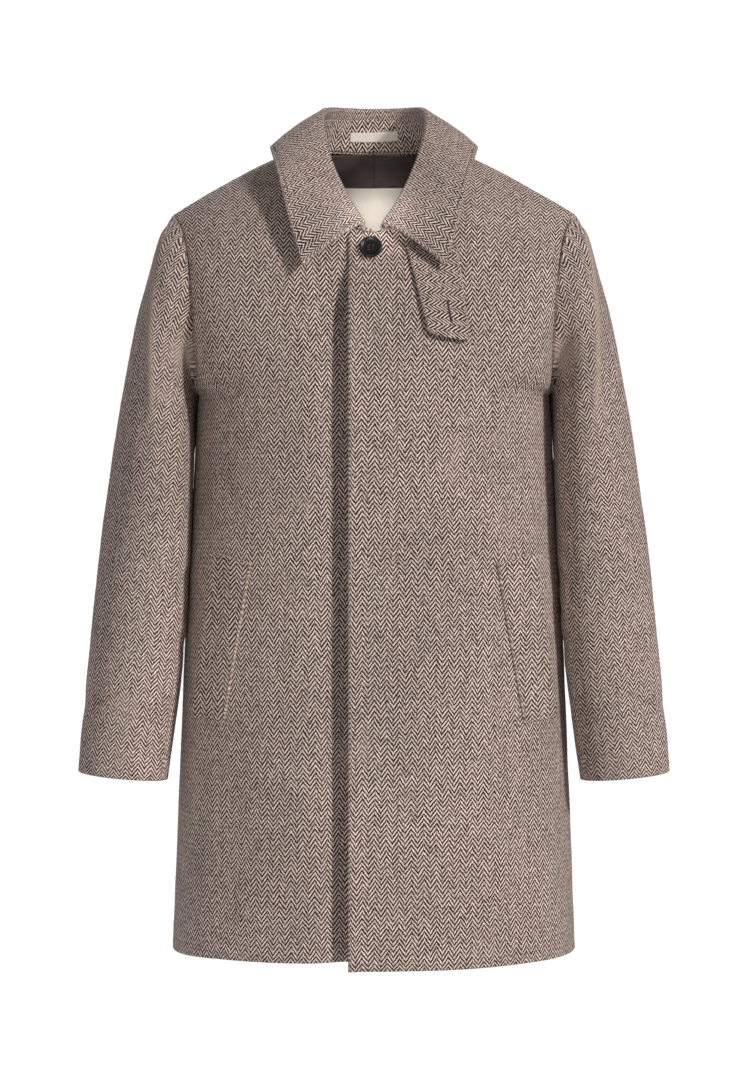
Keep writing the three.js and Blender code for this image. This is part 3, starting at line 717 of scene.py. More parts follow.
def smoothPoint(points, at):
    # a point of the uniform spline through the points; at goes from 0 to 1
    place = at * (len(points) - 1)
    i = min(int(place), len(points) - 2)
    share = place - i
    here, after = points[i], points[i + 1]
    before = points[i - 1] if i > 0 else here * 2 - after
    beyond = points[i + 2] if i + 2 < len(points) else after * 2 - here
    square, cube = share ** 2, share ** 3
    return (
        here * (2 * cube - 3 * square + 1)
        + (after - before) * (0.5 * (cube - 2 * square + share))
        + after * (3 * square - 2 * cube)
        + (beyond - here) * (0.5 * (cube - square))
    )


def sideOfBody(y, z):
    level = min(1, (z - body["hemAtSide"]) / (body["armpitZ"] - body["hemAtSide"]))
    middleY = body["sideSeamY"]
    controls = bodyRow("front" if y < middleY else "back", level, body["hemAtBack"])
    low, high = 0, 1
    for step in range(16):
        middle = (low + high) / 2
        if abs(cubicPoint(controls, middle).y - middleY) < abs(y - middleY):
            low = middle
        else:
            high = middle
    return cubicPoint(controls, low).x


def ridgeShare(point, along):
    ridgeX = lookUp(capRidge, "z", point.z, "x")
    fade = ease(*sleeve["ridgeTop"], point.z) * ease(*sleeve["ridgeEnd"], point.z)
    return point.x - ridgeX, fade * ease(0, 0.05, along)


def sleeveRelief(point, turn, along, arm):
    apart, fade = ridgeShare(point, along)
    height = sleeve["ridgeHeight"] * bell(apart, sleeve["ridgeWidth"]) * fade
    trough = bell(apart - sleeve["troughOffset"], sleeve["troughWidth"])
    height -= sleeve["troughDepth"] * trough * fade
    for crease in sleeveCreases["both"] + sleeveCreases[arm]:
        around = abs(turn - crease["turn"])
        around = min(around, 1 - around)
        middle = crease["z"] + crease["slope"] * (point.x - 260)
        rise = crease["height"] * ease(0, 0.08, along)
        height += rise * bell(around, crease["spread"]) * bell(point.z - middle, crease["width"])
    return height


def sleeveRow(curves, along, arm):
    row = [smoothPoint(curve, along) for curve in curves]
    middle = sum(row, Vector()) / len(row)
    result, nap = [], []
    for column, point in enumerate(row):
        outward = (point - middle).normalized()
        turn = column / len(row)
        height = sleeveRelief(point, turn, along, arm)
        head = bell(turn - 0.5, sleeve["headTurn"])
        height += sleeve["headRise"] * head * bell(along - sleeve["headAt"], sleeve["headSpread"])
        apart, fade = ridgeShare(point, along)
        wornX, wornZ, wornSpread = sleeve["wornAt"]
        worn = sleeve["wornNap"] * bell(math.hypot(point.x - wornX, point.z - wornZ), wornSpread)
        ridge = sleeve["ridgeNap"]["front" if point.y < sleeve["hindFromY"] else "hind"]
        nap.append(max(worn, bell(apart, sleeve["ridgeNapWidth"]) * fade * ridge))
        point = point + outward * height
        if point.z < body["armpitZ"] + sleeve["pressAbove"]:
            press = sleeve["armpitPress"] * bell(point.z - body["armpitZ"], sleeve["pressSpread"])
            touch = sideOfBody(point.y, point.z) + sleeve["clearance"] * ease(0, 0.06, along)
            touch -= press
            around = min(column, len(row) - column) / len(row)
            lean = bell(around, sleeve["leanSpread"]) * (1 - ease(*sleeve["leanEnd"], point.z))
            lean *= ease(*sleeve["leanDepth"], point.y)
            point.x = max(mix(point.x, touch, lean), touch)
        result.append(point)
    return result, nap


armLine = Vector((0.085, -0.053, -0.995))
levelStep = 4


def heightOf(point):
    return -point.dot(armLine)


def wayBetween(here, there):
    # depth counts for less, so the columns keep their width towards the silhouette
    step = here - there
    return math.hypot(step.x, step.z, step.y * sleeve["depthShare"])


def roundsOf(rows):
    # for levels up the arm, the way round from the top line to each column, both ways
    columns = len(rows[0])
    top = columns // 2
    lines = [[row[column] for row in rows] for column in range(columns)]
    lowest = min(heightOf(point) for point in rows[-1])
    highest = max(heightOf(row[top]) for row in rows)
    levels = [lowest + levelStep * k for k in range(int((highest - lowest) / levelStep) + 2)]
    rounds = []
    for level in levels:
        section = []
        for line in lines:
            at = line[0]
            for here, there in zip(line, line[1:]):
                high, low = heightOf(here), heightOf(there)
                if high >= level > low:
                    at = here.lerp(there, (high - level) / (high - low))
                    break
                if high < level:
                    break
                at = there
            section.append(at)
        front, hind = [0] * columns, [0] * (columns + 1)
        for column in range(top - 1, -1, -1):
            front[column] = front[column + 1] + wayBetween(section[column], section[column + 1])
        for column in range(top + 1, columns + 1):
            step = wayBetween(section[column % columns], section[column - 1])
            hind[column] = hind[column - 1] + step
        rounds.append((front, hind))
    return levels, rounds


def sleeveWeave(point, column, levels, rounds):
    # u is the way round from the top line, v the height along the arm
    height = heightOf(point)
    place = min(max((height - levels[0]) / levelStep, 0), len(levels) - 1.001)
    k = int(place)
    values = []
    for front, hind in rounds[k:k + 2]:
        top = len(front) // 2
        if column < 0:
            values.append(hind[-1] + front[0] - front[-column - 1])
        else:
            values.append(-front[column] if column <= top else hind[column])
    return mix(values[0], values[1], place - k), height


def makeSleeve(arm):
    columns = 2 * body["rowsToShoulder"]
    curves = []
    for column in range(columns):
        turn = column / columns
        curves.append([ringPoint(ring, turn) for ring in range(len(sleeveRings) + 1)])
    made = [sleeveRow(curves, i / sleeve["rows"], arm) for i in range(sleeve["rows"] + 1)]
    rows = [points for points, nap in made]
    naps = [nap for points, nap in made]
    result = {}
    sections = roundsOf(rows)
    front, hind = sleeve["frontSeam"], sleeve["hindSeam"]
    for part in ("Upper", "Under"):
        if part == "Upper":
            order = list(range(front, hind + 1))
            codes = order
        else:
            order = list(range(hind, columns)) + list(range(front + 1))
            codes = list(range(hind, columns)) + [-column - 1 for column in range(front + 1)]
        sheetRows = [[row[column] for column in order] for row in rows]
        weave = [
            [sleeveWeave(point, code, *sections) for point, code in zip(row, codes)]
            for row in sheetRows
        ]
        left = arm == "Left"
        placed = sheetRows if left else [[mirrored(p) for p in row] for row in sheetRows]
        sheet = Sheet(placed, left)
        sheet.place("weave", weave)
        sheet.place("nap", [[nap[column] for column in order] for nap in naps])
        result["sleeve" + arm + part] = sheet
    return result


# collar and stand

collar = {
    "thickness": 3.4,
    "foldRadius": 4.6,
    "crown": 3.5,
    "turnOver": 7,
    "turnOverShare": 0.35,
    "leafRows": 30,
    "foldRows": 12,
    "endRows": 4,
    "standRows": 12,
    "backTurn": 0.6,
    "stitchIn": 6,
}
collarStations = listOf(
    "turn rollX rollY rollZ edgeX edgeY edgeZ",
    (0, 0, 66, 61, 0, 101, -8),
    (0.17, 30, 61, 61, 50, 95, -7),
    (0.34, 51, 43, 60, 91, 68, -2),
    (0.48, 60, 18, 55, 112, 29, 5),
    (0.6, 62, -9, 43, 117, -12, 8),
    (0.72, 57, -38, 12, 111, -54, -12),
    (0.82, 44, -66, -26, 103, -86, -40),
    (0.91, 29, -92, -60, 92, -112, -84),
    (1, 13, -112, -88, 77, -129, -137),
)


def collarStation(turn):
    roll = vectorFrom(collarStations, "turn", turn, "rollX rollY rollZ")
    edge = vectorFrom(collarStations, "turn", turn, "edgeX edgeY edgeZ")
    ahead = vectorFrom(collarStations, "turn", min(1, turn + 0.01), "rollX rollY rollZ")
    behind = vectorFrom(collarStations, "turn", max(0, turn - 0.01), "rollX rollY rollZ")
    along = (ahead - behind).normalized()
    down = edge - roll
    down = (down - along * down.dot(along)).normalized()
    return roll, edge, down, along.cross(down).normalized()


def footOfStand(turn):
    back = collar["backTurn"]
    if turn <= back:
        return cubicPoint(neckline["back"], turn / back)
    return cubicPoint(neckline["front"], (1 - turn) / (1 - back))


def turnOverEnd(turn):
    roll, edge, down, outward = collarStation(turn)
    inside = roll - outward * (2 * collar["foldRadius"])
    toFoot = footOfStand(turn) - outward * cloth["thickness"] - inside
    length = min(collar["turnOver"], toFoot.length * collar["turnOverShare"])
    return inside, inside + toFoot.normalized() * length


def collarProfile(turn):
    # one section, from inside the neck over the fold to the outer edge
    roll, edge, down, outward = collarStation(turn)
    inside, end = turnOverEnd(turn)
    radius = collar["foldRadius"]
    axis = roll - outward * radius
    points = [end.lerp(inside, k / collar["endRows"]) for k in range(collar["endRows"])]
    for i in range(collar["foldRows"], 0, -1):
        angle = math.pi * i / collar["foldRows"]
        points.append(axis + outward * (radius * math.cos(angle)) - down * (radius * math.sin(angle)))
    for i in range(collar["leafRows"] + 1):
        share = i / collar["leafRows"]
        rise = 4 * collar["crown"] * share * (1 - share)
        points.append(roll.lerp(edge, share) + outward * rise)
    return points


def neckStations(step):
    # the neckline's corners and the middles between them, from the front end to the back
    corners = []
    rows, back = body["rowsToShoulder"], collar["backTurn"]
    frontRow, backRow = body["frontNeckRow"], body["backNeckRow"]
    for i in range(frontRow, rows):
        share = (i - frontRow) / (rows - frontRow)
        point = rowEnd("front", i / rows)
        point.y += stepBack(step, point.x)
        corners.append((1 - share * (1 - back), point))
    for i in range(rows, backRow - 1, -1):
        corners.append(((i - backRow) / (rows - backRow) * back, rowEnd("back", i / rows)))
    stations = [corners[0]]
    for (turnBefore, before), (turn, point) in zip(corners, corners[1:]):
        stations.append(((turn + turnBefore) / 2, (point + before) / 2))
        stations.append((turn, point))
    return stations


def makeCollar():
    half = [collarProfile(turn) for turn, point in neckStations(0)]
    rows = half + [[mirrored(point) for point in row] for row in half[-2::-1]]
    sheet = Sheet(rows)
    rollAt = collar["endRows"] + collar["foldRows"] - 1
    middleLeaf = rollAt + collar["leafRows"] // 2
    around = lengths([row[middleLeaf] for row in rows])
    centre = around[len(half) - 1]
    fromFront = [lengths([row[j] for row in rows]) for j in range(len(rows[0]))]
    weave, edges = [], []
    for i, row in enumerate(rows):
        down = lengths(row)
        weave.append([(around[i] - centre, down[rollAt] - place) for place in down])
        edges.append([
            min(down[-1] - down[j], fromFront[j][i], fromFront[j][-1] - fromFront[j][i])
            if j > rollAt - 4 else 100
            for j in range(len(row))
        ])
    sheet.place("weave", weave)
    sheet.place("edge", edges)
    sheet.rims = {ids[0]: (-0.25, 0.5) for ids in sheet.ids[1:-1]}
    return sheet


def makeStand(fall):
    left = neckStations(0)
    right = neckStations(body["layerStep"])[:-1]
    feet = [point for turn, point in left] + [mirrored(point) for turn, point in right[::-1]]
    rows = []
    for ids, foot in zip(fall.ids, feet):
        top = fall.points[ids[0]] - fall.normals[ids[0]] * collar["thickness"]
        rows.append([top.lerp(foot, k / collar["standRows"]) for k in range(collar["standRows"] + 1)])
    sheet = Sheet(rows)
    middle = collar["standRows"] // 2
    around = lengths([row[middle] for row in rows])
    centre = around[len(left) - 1]
    sheet.place("weave", [
        [(around[i] - centre, -place) for place in lengths(row)] for i, row in enumerate(rows)
    ])
    sheet.rims = {ids[0]: (-0.25, 0.5) for ids in sheet.ids[1:-1]}
    sheet.rims.update({ids[-1]: (0, 0.6) for ids in sheet.ids[1:-1]})
    return sheet


# pieces laid on a panel, and the satin lining

welt = {
    "stitchRise": -0.1,
    "outerTop": (175, -442),
    "innerTop": (131, -455),
    "innerBottom": (161, -628),
    "outerBottom": (199, -624),
    "top": 2.6,
    "thickness": 2.8,
    "columns": 18,
    "rows": 60,
    "width": 42,
    "length": 180,
    "weaveShift": 3,
    "stitchInset": 0.09,
    "stitchEnd": 0.03,
    "stitchSteps": 40,
}
tab = {
    "topCentre": (62, -112),
    "endCentre": (80, -215),
    "topHalfWidth": 28,
    "endHalfWidth": 22,
    "cornerRadius": 7,
    "endSlant": 0.16,
    "gap": 0.45,
    "lift": 3.2,
    "thickness": 2.8,
    "columns": 22,
    "rows": 44,
}
lining = {
    "halfWidth": 108,
    "sideDrop": 38,
    "bottomZ": -180,
    "gap": 0.9,
    "thickness": 1,
    "columns": 40,
    "rows": 60,
}
mainLabel = {"halfWidth": 46, "topZ": -20, "bottomZ": -84, "offset": -5.85, "tilt": 0,
             "stitchRise": 0.75, "stitchIn": 2}
smallLabel = {"halfWidth": 28.5, "topZ": 37, "bottomZ": 26, "offset": -3.3, "tilt": 0.03}


def weltPlace(side, inward, down):
    # x and z at shares of the welt's width and length
    x, z = [
        mix(
            mix(welt["outerTop"][k], welt["innerTop"][k], inward),
            mix(welt["outerBottom"][k], welt["innerBottom"][k], inward),
            down,
        )
        for k in (0, 1)
    ]
    return side * x, z


def makeWelt(panel, side):
    width, length = welt["width"], welt["length"]
    rows, weave, edges = [], [], []
    for i in range(welt["rows"] + 1):
        down = i / welt["rows"]
        row, line, near = [], [], []
        for j in range(welt["columns"] + 1):
            inward = j / welt["columns"]
            x, z = weltPlace(side, inward, down)
            row.append(over(panel, x, z, welt["top"]))
            line.append((x + welt["weaveShift"], z))
            near.append(min(min(inward, 1 - inward) * width, min(down, 1 - down) * length))
        rows.append(row)
        weave.append(line)
        edges.append(near)
    sheet = Sheet(rows, side < 0)
    sheet.place("weave", weave)
    sheet.place("edge", edges)
    return sheet


def makeTab(panel):
    length = tab["topCentre"][1] - tab["endCentre"][1]
    radius = tab["cornerRadius"]
    rows, weave, edges = [], [], []
    for i in range(tab["rows"] + 1):
        down = math.sin(i / tab["rows"] * math.pi / 2)
        left = length * (1 - down)
        missing = max(0, radius - left)
        corner = radius - math.sqrt(radius ** 2 - missing ** 2)
        half = mix(tab["topHalfWidth"], tab["endHalfWidth"], down) - corner
        row, line, near = [], [], []
        for j in range(tab["columns"] + 1):
            across = mix(-half, half, j / tab["columns"])
            x = mix(tab["topCentre"][0], tab["endCentre"][0], down) + across
            z = mix(tab["topCentre"][1], tab["endCentre"][1], down)
            z -= across * tab["endSlant"] * down
            row.append(over(panel, x, z, tab["gap"] + tab["lift"] * down + tab["thickness"]))
            line.append((left, across))
            near.append(min(half - abs(across), left))
        rows.append(row)
        weave.append(line)
        edges.append(near)
    sheet = Sheet(rows, True)
    sheet.place("weave", weave)
    sheet.place("edge", edges)
    return sheet


def liningTop(across):
    # close under the neckline, then down beside it
    low, high = 0, 1
    for step in range(20):
        middle = (low + high) / 2
        if cubicPoint(neckline["back"], middle).x < min(across, 80):
            low = middle
        else:
            high = middle
    top = cubicPoint(neckline["back"], low).z - 0.6
    return top - lining["sideDrop"] * ease(74, lining["halfWidth"] + 12, across)


def makeLining(panel, side):
    rows, weave = [], []
    for i in range(lining["rows"] + 1):
        row, line = [], []
        for j in range(lining["columns"] + 1):
            across = lining["halfWidth"] * j / lining["columns"]
            top = liningTop(across)
            z = mix(top, lining["bottomZ"], i / lining["rows"])
            x = side * max(across, 0.15)
            swell = 0.5 * noise.noise(Vector((x * 0.03, z * 0.05, 3)))
            row.append(over(panel, x, z, -cloth["thickness"] - lining["gap"] + swell * 0.6))
            line.append((x, z))
        rows.append(row)
        weave.append(line)
    sheet = Sheet(rows, side < 0)
    sheet.place("weave", weave)
    sheet.rims = {ids[0]: (-0.12, 0.05) for ids in sheet.ids}
    return sheet


def makeLabel(panel, label, columns, rows):
    points, weave = [], []
    for i in range(rows + 1):
        z = mix(label["topZ"], label["bottomZ"], i / rows)
        row, line = [], []
        for j in range(columns + 1):
            x = mix(-label["halfWidth"], label["halfWidth"], j / columns)
            row.append(over(panel, x, z + label["tilt"] * x, label["offset"]))
            line.append((x, z))
        points.append(row)
        weave.append(line)
    sheet = Sheet(points)
    sheet.place("weave", weave)
    return sheet


print("shaping the cloth")
sheets = {
    "frontLeft": makeFront("frontLeft"),
    "frontRight": makeFront("frontRight"),
    "back": makeBack(),
}
for arm in ("Left", "Right"):
    sheets.update(makeSleeve(arm))
sheets["collarFall"] = makeCollar()
sheets["collarFall"].setNormals()
sheets["collarStand"] = makeStand(sheets["collarFall"])
for sheet in sheets.values():
    sheet.setNormals()
shareNormals(sheets.values())
for sheet in sheets.values():
    for point, normal in zip(sheet.points, sheet.normals):
        point += normal * unevenness(point)
fall, stand = sheets["collarFall"], sheets["collarStand"]
for standRow, fallRow in zip(stand.ids, fall.ids):
    stand.normals[standRow[0]] = -fall.normals[fallRow[0]]

sheets["weltLeft"] = makeWelt(sheets["frontLeft"], 1)
sheets["weltRight"] = makeWelt(sheets["frontRight"], -1)
sheets["throatTab"] = makeTab(sheets["frontLeft"])
sheets["liningLeft"] = makeLining(sheets["back"], 1)
sheets["liningRight"] = makeLining(sheets["back"], -1)
sheets["labelMain"] = makeLabel(sheets["back"], mainLabel, 30, 20)
sheets["labelSmall"] = makeLabel(sheets["collarStand"], smallLabel, 26, 6)
for name in ("weltLeft", "weltRight", "throatTab", "liningLeft", "liningRight", "labelMain",
             "labelSmall"):
    sheets[name].setNormals()
for name, sheet in sheets.items():
    print(name, len(sheet.points), round(sheet.area(), 4))

# shader maths


class Term:
    # a node's output; the operators add Math nodes

    def __init__(self, shader, socket):
        self.shader, self.socket = shader, socket

    def __add__(self, other):
        return self.shader.maths("ADD", self, other)

    def __sub__(self, other):
        return self.shader.maths("SUBTRACT", self, other)

    def __rsub__(self, other):
        return self.shader.maths("SUBTRACT", other, self)

    def __mul__(self, other):
        return self.shader.maths("MULTIPLY", self, other)

    def __truediv__(self, other):
        return self.shader.maths("DIVIDE", self, other)

    __radd__ = __add__
    __rmul__ = __mul__


class Shader:

    def __init__(self, name):
        self.material = bpy.data.materials.new(name)
        self.material.use_nodes = True
        self.tree = self.material.node_tree
        self.tree.nodes.clear()

    def node(self, kind, settings=None, inputs=None, output=0):
        made = self.tree.nodes.new(kind)
        for key, value in (settings or {}).items():
            if key == "stops":
                ramp = made.color_ramp
                while len(ramp.elements) < len(value):
                    ramp.elements.new(0.5)
                for element, (position, colour) in zip(ramp.elements, value):
                    element.position, element.color = position, colour
            else:
                setattr(made, key, value)
        for key, value in (inputs or {}).items():
            socket = made.inputs[key]
            if isinstance(value, Term):
                self.tree.links.new(value.socket, socket)
            else:
                socket.default_value = value
        return Term(self, made.outputs[output]) if len(made.outputs) else made

    def maths(self, operation, *values):
        inputs = dict(enumerate(values))
        return self.node("ShaderNodeMath", {"operation": operation}, inputs)

    def clamped(self, value):
        return self.node("ShaderNodeClamp", None, {"Value": value})

    def between(self, value, start, end, low=0.0, high=1.0):
        inputs = {"Value": value, "From Min": start, "From Max": end, "To Min": low, "To Max": high}
        settings = {"interpolation_type": "SMOOTHSTEP"}
        return self.node("ShaderNodeMapRange", settings, inputs)

    def noise(self, place, scale, detail=2.0, roughness=0.5, distortion=0.0):
        inputs = {"Vector": place, "Scale": scale, "Detail": detail, "Roughness": roughness,
                  "Distortion": distortion}
        return self.node("ShaderNodeTexNoise", None, inputs)

    def mixColour(self, factor, first, second, blend="MIX"):
        settings = {"data_type": "RGBA", "blend_type": blend}
        return self.node("ShaderNodeMix", settings, {0: factor, 6: first, 7: second}, 2)

    def weavePlace(self):
        # the place in the weave in millimetres, whole and as u and v
        uv = self.node("ShaderNodeUVMap", {"uv_map": "weave"})
        flat = self.node("ShaderNodeVectorMath", {"operation": "SCALE"}, {0: uv, "Scale": 1000.0})
        parts = self.node("ShaderNodeSeparateXYZ", None, {0: flat}).socket.node
        return flat, Term(self, parts.outputs[0]), Term(self, parts.outputs[1])

    def place(self, x, y, z=0.0):
        return self.node("ShaderNodeCombineXYZ", None, {0: x, 1: y, 2: z})

    def bump(self, height, distance, strength=1.0):
        inputs = {"Height": height, "Distance": distance, "Strength": strength}
        return self.node("ShaderNodeBump", None, inputs)

    def finish(self, inputs):
        principled = self.node("ShaderNodeBsdfPrincipled", None, inputs)
        self.node("ShaderNodeOutputMaterial", None, {"Surface": principled})
        return self.material


def colour(red, green, blue):
    # from the usual 0 to 255 values
    def linear(value):
        value /= 255
        return value / 12.92 if value <= 0.04045 else ((value + 0.055) / 1.055) ** 2.4
    return (linear(red), linear(green), linear(blue), 1)


wool = {
    "column": 6.6,
    "slope": 1.4,
    "yarn": 1.1,
    "breakShare": 0.3,
    "dark": colour(44, 31, 27),
    "light": colour(248, 224, 213),
    "nap": colour(184, 164, 151),
    "bump": 0.0005,
}


def woolMaterial(name, pitch, column=wool["column"], soft=0.66, stitchIn=None):
    # herringbone in millimetres: u runs across the columns, v along them
    s = Shader(name)
    flat, u, v = s.weavePlace()
    place = s.node("ShaderNodeTexCoord", None, None, "Object")

    # columns wander and yarns jitter
    sway = s.noise(flat, 0.018, 2.0)
    drift = s.noise(s.place(v, u), 0.021, 2.0)
    jitter = s.noise(flat, 0.42, 2.0)
    across = u + (sway - 0.5) * 5.0 + (jitter - 0.5) * 0.9
    up = v + (drift - 0.5) * 7.0

    zigzag = s.maths("PINGPONG", across, column)
    yarnIndex = s.maths("FLOOR", across / wool["yarn"])
    stepped = s.maths("SNAP", zigzag, wool["yarn"])
    slant = (zigzag * 0.45 + stepped * 0.55) * wool["slope"]
    odd = s.maths("MODULO", s.maths("FLOOR", across / column) + 2000.0, 2.0)
    phase = (up + slant + (jitter - 0.5) * 1.8) / pitch + odd * wool["breakShare"]
    wave = s.maths("SINE", phase * (2 * math.pi))
    pickIndex = s.maths("FLOOR", phase * 2.0)
    yarnNoise = s.node("ShaderNodeTexWhiteNoise", {"noise_dimensions": "2D"},
                       {"Vector": s.place(yarnIndex, pickIndex)}, 0)

    # the break where two columns meet
    fromSeam = s.maths("PINGPONG", across, column / 2)
    seam = s.between(fromSeam, 0.0, 0.9)

    # nap: matted patches and worn ridges hide the weave
    patches = s.between(s.noise(place, 17.0, 3.0, 0.6), 0.60, 0.76, 0.0, 0.24)
    worn = s.node("ShaderNodeAttribute", {"attribute_name": "nap"}, None, "Fac")
    fuzz = s.noise(flat, 1.1, 3.0, 0.65)
    hairs = s.noise(s.place(u * 1.7, v * 0.5), 0.9, 3.0, 0.7)
    matted = s.clamped(patches * (fuzz + 0.35) + worn * 0.85)

    threshold = (fuzz - 0.5) * 2.2 + (hairs - 0.5) * 1.6 + (yarnNoise - 0.5) * 0.7 - 0.22
    lit = s.between(wave * (0.65 + seam * 0.35) + threshold, -soft, soft)
    weave = s.mixColour(lit, wool["dark"], wool["light"])
    cover = s.mixColour(matted, weave, wool["nap"])

    # heather, broad shading and a slight warmth
    heather = 0.80 + fuzz * 0.22 + yarnNoise * 0.10 + hairs * 0.10
    broad = s.between(s.noise(place, 6.0, 3.0, 0.6), 0.25, 0.75, 0.90, 1.08)
    shade = heather * broad
    grey = s.node("ShaderNodeCombineColor", None, {0: shade, 1: shade, 2: shade})
    painted = s.mixColour(1.0, cover, grey, "MULTIPLY")
    warmth = s.between(s.noise(place, 11.0, 2.0), 0.35, 0.7)
    painted = s.mixColour(warmth * 0.35, painted,
                          s.mixColour(1.0, painted, (1.03, 0.985, 0.95, 1), "MULTIPLY"))

    height = lit * 0.55 * (1 - matted * 0.8) + fuzz * 0.6 + hairs * 0.35
    if stitchIn:
        edge = s.node("ShaderNodeAttribute", {"attribute_name": "edge"}, None, "Fac")
        off = s.maths("ABSOLUTE", edge - stitchIn)
        groove = 1 - s.between(off, 0.0, 1.6)
        height = height - groove * 1.3
    normal = s.bump(height, wool["bump"], 0.9)
    return s.finish({
        "Base Color": painted,
        "Roughness": 0.92,
        "Sheen Weight": 0.12,
        "Sheen Roughness": 0.55,
        "Sheen Tint": (0.9, 0.84, 0.8, 1),
        "Specular IOR Level": 0.18,
        "Normal": normal,
    })


def satinMaterial():
    s = Shader("darkSatinLining")
    flat, u, v = s.weavePlace()
    threads = s.maths("SINE", v * (2 * math.pi / 0.55)) * 0.5 + s.noise(s.place(u * 0.3, v * 3.0), 1.0)
    foldsAndPaintedSheen = s.noise(s.place(u * 0.6, v * 1.6), 0.05, 3.0, 0.55, 0.6)
    # the lining is painted lighter on its raised folds: painted sheen; the same noise also gives the
    # real bump and the roughness
    tint = s.mixColour(foldsAndPaintedSheen, colour(60, 50, 49), colour(98, 85, 82))
    normal = s.bump(foldsAndPaintedSheen * 6.0 + threads * 0.05, 0.001, 0.6)
    return s.finish({
        "Base Color": tint,
        "Roughness": s.between(foldsAndPaintedSheen, 0.3, 0.7, 0.30, 0.42),
        "Specular IOR Level": 0.5,
        "Sheen Weight": 0.2,
        "Normal": normal,
    })


def labelMaterial():
    s = Shader("creamLabelSatin")
    flat, u, v = s.weavePlace()
    warp = s.maths("SINE", u * (2 * math.pi / 0.5))
    weft = s.maths("SINE", v * (2 * math.pi / 0.42))
    cloudy = s.noise(flat, 0.06, 3.0)
    tint = s.mixColour(cloudy, colour(226, 213, 196), colour(246, 236, 222))
    normal = s.bump(warp * 0.3 + weft * 0.3 + s.noise(flat, 2.0) * 0.5, 0.0002, 0.5)
    return s.finish({
        "Base Color": tint,
        "Roughness": s.between(cloudy, 0.3, 0.7, 0.40, 0.52),
        "Sheen Weight": 0.25,
        "Normal": normal,
    })


print("mixing the finishes")
finishes = {
    "body": woolMaterial("woolHerringboneBody", 5.45),
    "sleeve": woolMaterial("woolHerringboneSleeve", 4.9),
    "collar": woolMaterial("woolHerringboneCollar", 5.1, 6.0, 0.36, collar["stitchIn"]),
    "stand": woolMaterial("woolHerringboneStand", 5.6, 6.6, 0.4),
    "welt": woolMaterial("woolHerringboneWelt", 5.45, stitchIn=3.5),
    "tab": woolMaterial("woolHerringboneTab", 4.8, soft=0.4, stitchIn=5),
    "satin": satinMaterial(),
    "label": labelMaterial(),
}

# each sheet: node, body, finish, slot, thickness, what it hangs from and the flat cut
pieces = listOf(
    "name node finish slot thickness held restsOn width length area",
    ("frontLeft", "front_left", "body", "wool_cloth", 3, "hung", ["back"], 0.34, 0.98, 0.256),
    ("frontRight", "front_right", "body", "wool_cloth", 3, "hung", ["back"], 0.34, 0.98, 0.252),
    ("back", "back", "body", "wool_cloth", 3, "hung", ["collar_stand"], 0.62, 0.95, 0.478),
    ("sleeveLeftUpper", "sleeve_left_upper", "sleeve", "wool_cloth", 3, "hung",
     ["front_left", "back"], 0.31, 0.65, 0.148),
    ("sleeveLeftUnder", "sleeve_left_under", "sleeve", "wool_cloth", 3, "hung",
     ["front_left", "back"], 0.14, 0.5, 0.049),
    ("sleeveRightUpper", "sleeve_right_upper", "sleeve", "wool_cloth", 3, "hung",
     ["front_right", "back"], 0.31, 0.65, 0.148),
    ("sleeveRightUnder", "sleeve_right_under", "sleeve", "wool_cloth", 3, "hung",
     ["front_right", "back"], 0.14, 0.5, 0.049),
    ("collarFall", "collar_fall", "collar", "wool_cloth", 3.4, "folded",
     ["collar_stand"], 0.62, 0.12, 0.0585),
    ("collarStand", "collar_stand", "stand", "wool_cloth", 3, "folded",
     ["back", "front_left", "front_right"], 0.46, 0.045, 0.0148),
    ("weltLeft", "welt_left", "welt", "wool_cloth", welt["thickness"], "laid",
     ["front_left"], 0.052, 0.2, 0.0104),
    ("weltRight", "welt_right", "welt", "wool_cloth", welt["thickness"], "laid",
     ["front_right"], 0.052, 0.2, 0.0103),
    ("throatTab", "throat_tab", "tab", "wool_cloth", tab["thickness"], "hung",
     ["front_left", "collar_fall"], 0.058, 0.108, 0.0054),
    ("liningLeft", "lining_left", "satin", "satin_lining", 1, "hung", ["back"], 0.125, 0.2, 0.0208),
    ("liningRight", "lining_right", "satin", "satin_lining", 1, "hung",
     ["back"], 0.125, 0.2, 0.0208),
    ("labelMain", "label_main", "label", "label_cloth", 0.7, "laid",
     ["lining_left", "lining_right"], 0.094, 0.068, 0.0063),
    ("labelSmall", "label_small", "label", "label_cloth", 0.7, "laid",
     ["collar_stand"], 0.06, 0.012, 0.0006),
)

rims = {"collar": 1.5, "satin": 0.3, "label": 0.25}
for row in pieces:
    sheet = sheets[row["name"]]
    rim = rims.get(row["finish"], cloth["rim"])
    trim = 0.3 if row["finish"] == "collar" else cloth["trim"]
    title = "backPanel" if row["name"] == "back" else row["name"]
    piece = wallMesh(title, sheet, row["thickness"], rim, trim)
    piece.data.materials.append(finishes[row["finish"]])
    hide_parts(row["node"])
    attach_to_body(piece, "root")
print("made", len(pieces), "cloth pieces")

# button

button = {
    "x": -3.5,
    "z": -116,
    "radius": 12.5,
    "thickness": 4,
    "gap": 1.1,
    "holeRadius": 1.1,
    "holeSpacing": 2.7,
    "sides": 96,
}


def buttonMaterial():
    s = Shader("blackHornButton")
    place = s.node("ShaderNodeTexCoord", None, None, "Object")
    grain = s.noise(place, 260.0, 4.0, 0.6, 0.4)
    scratches = s.noise(place, 1400.0, 2.0)
    tint = s.mixColour(grain, colour(8, 9, 10), colour(24, 24, 25))
    return s.finish({
        "Base Color": tint,
        "Roughness": s.between(scratches, 0.3, 0.7, 0.26, 0.40),
        "Specular IOR Level": 0.5,
        "Normal": s.bump(scratches * 0.5 + grain, 0.0001, 0.4),
    })


def buttonSeat():
    point, normal = pointOver(sheets["frontLeft"], button["x"], button["z"])
    return point, normal, Vector((0, -1, 0)).rotation_difference(normal).to_matrix()


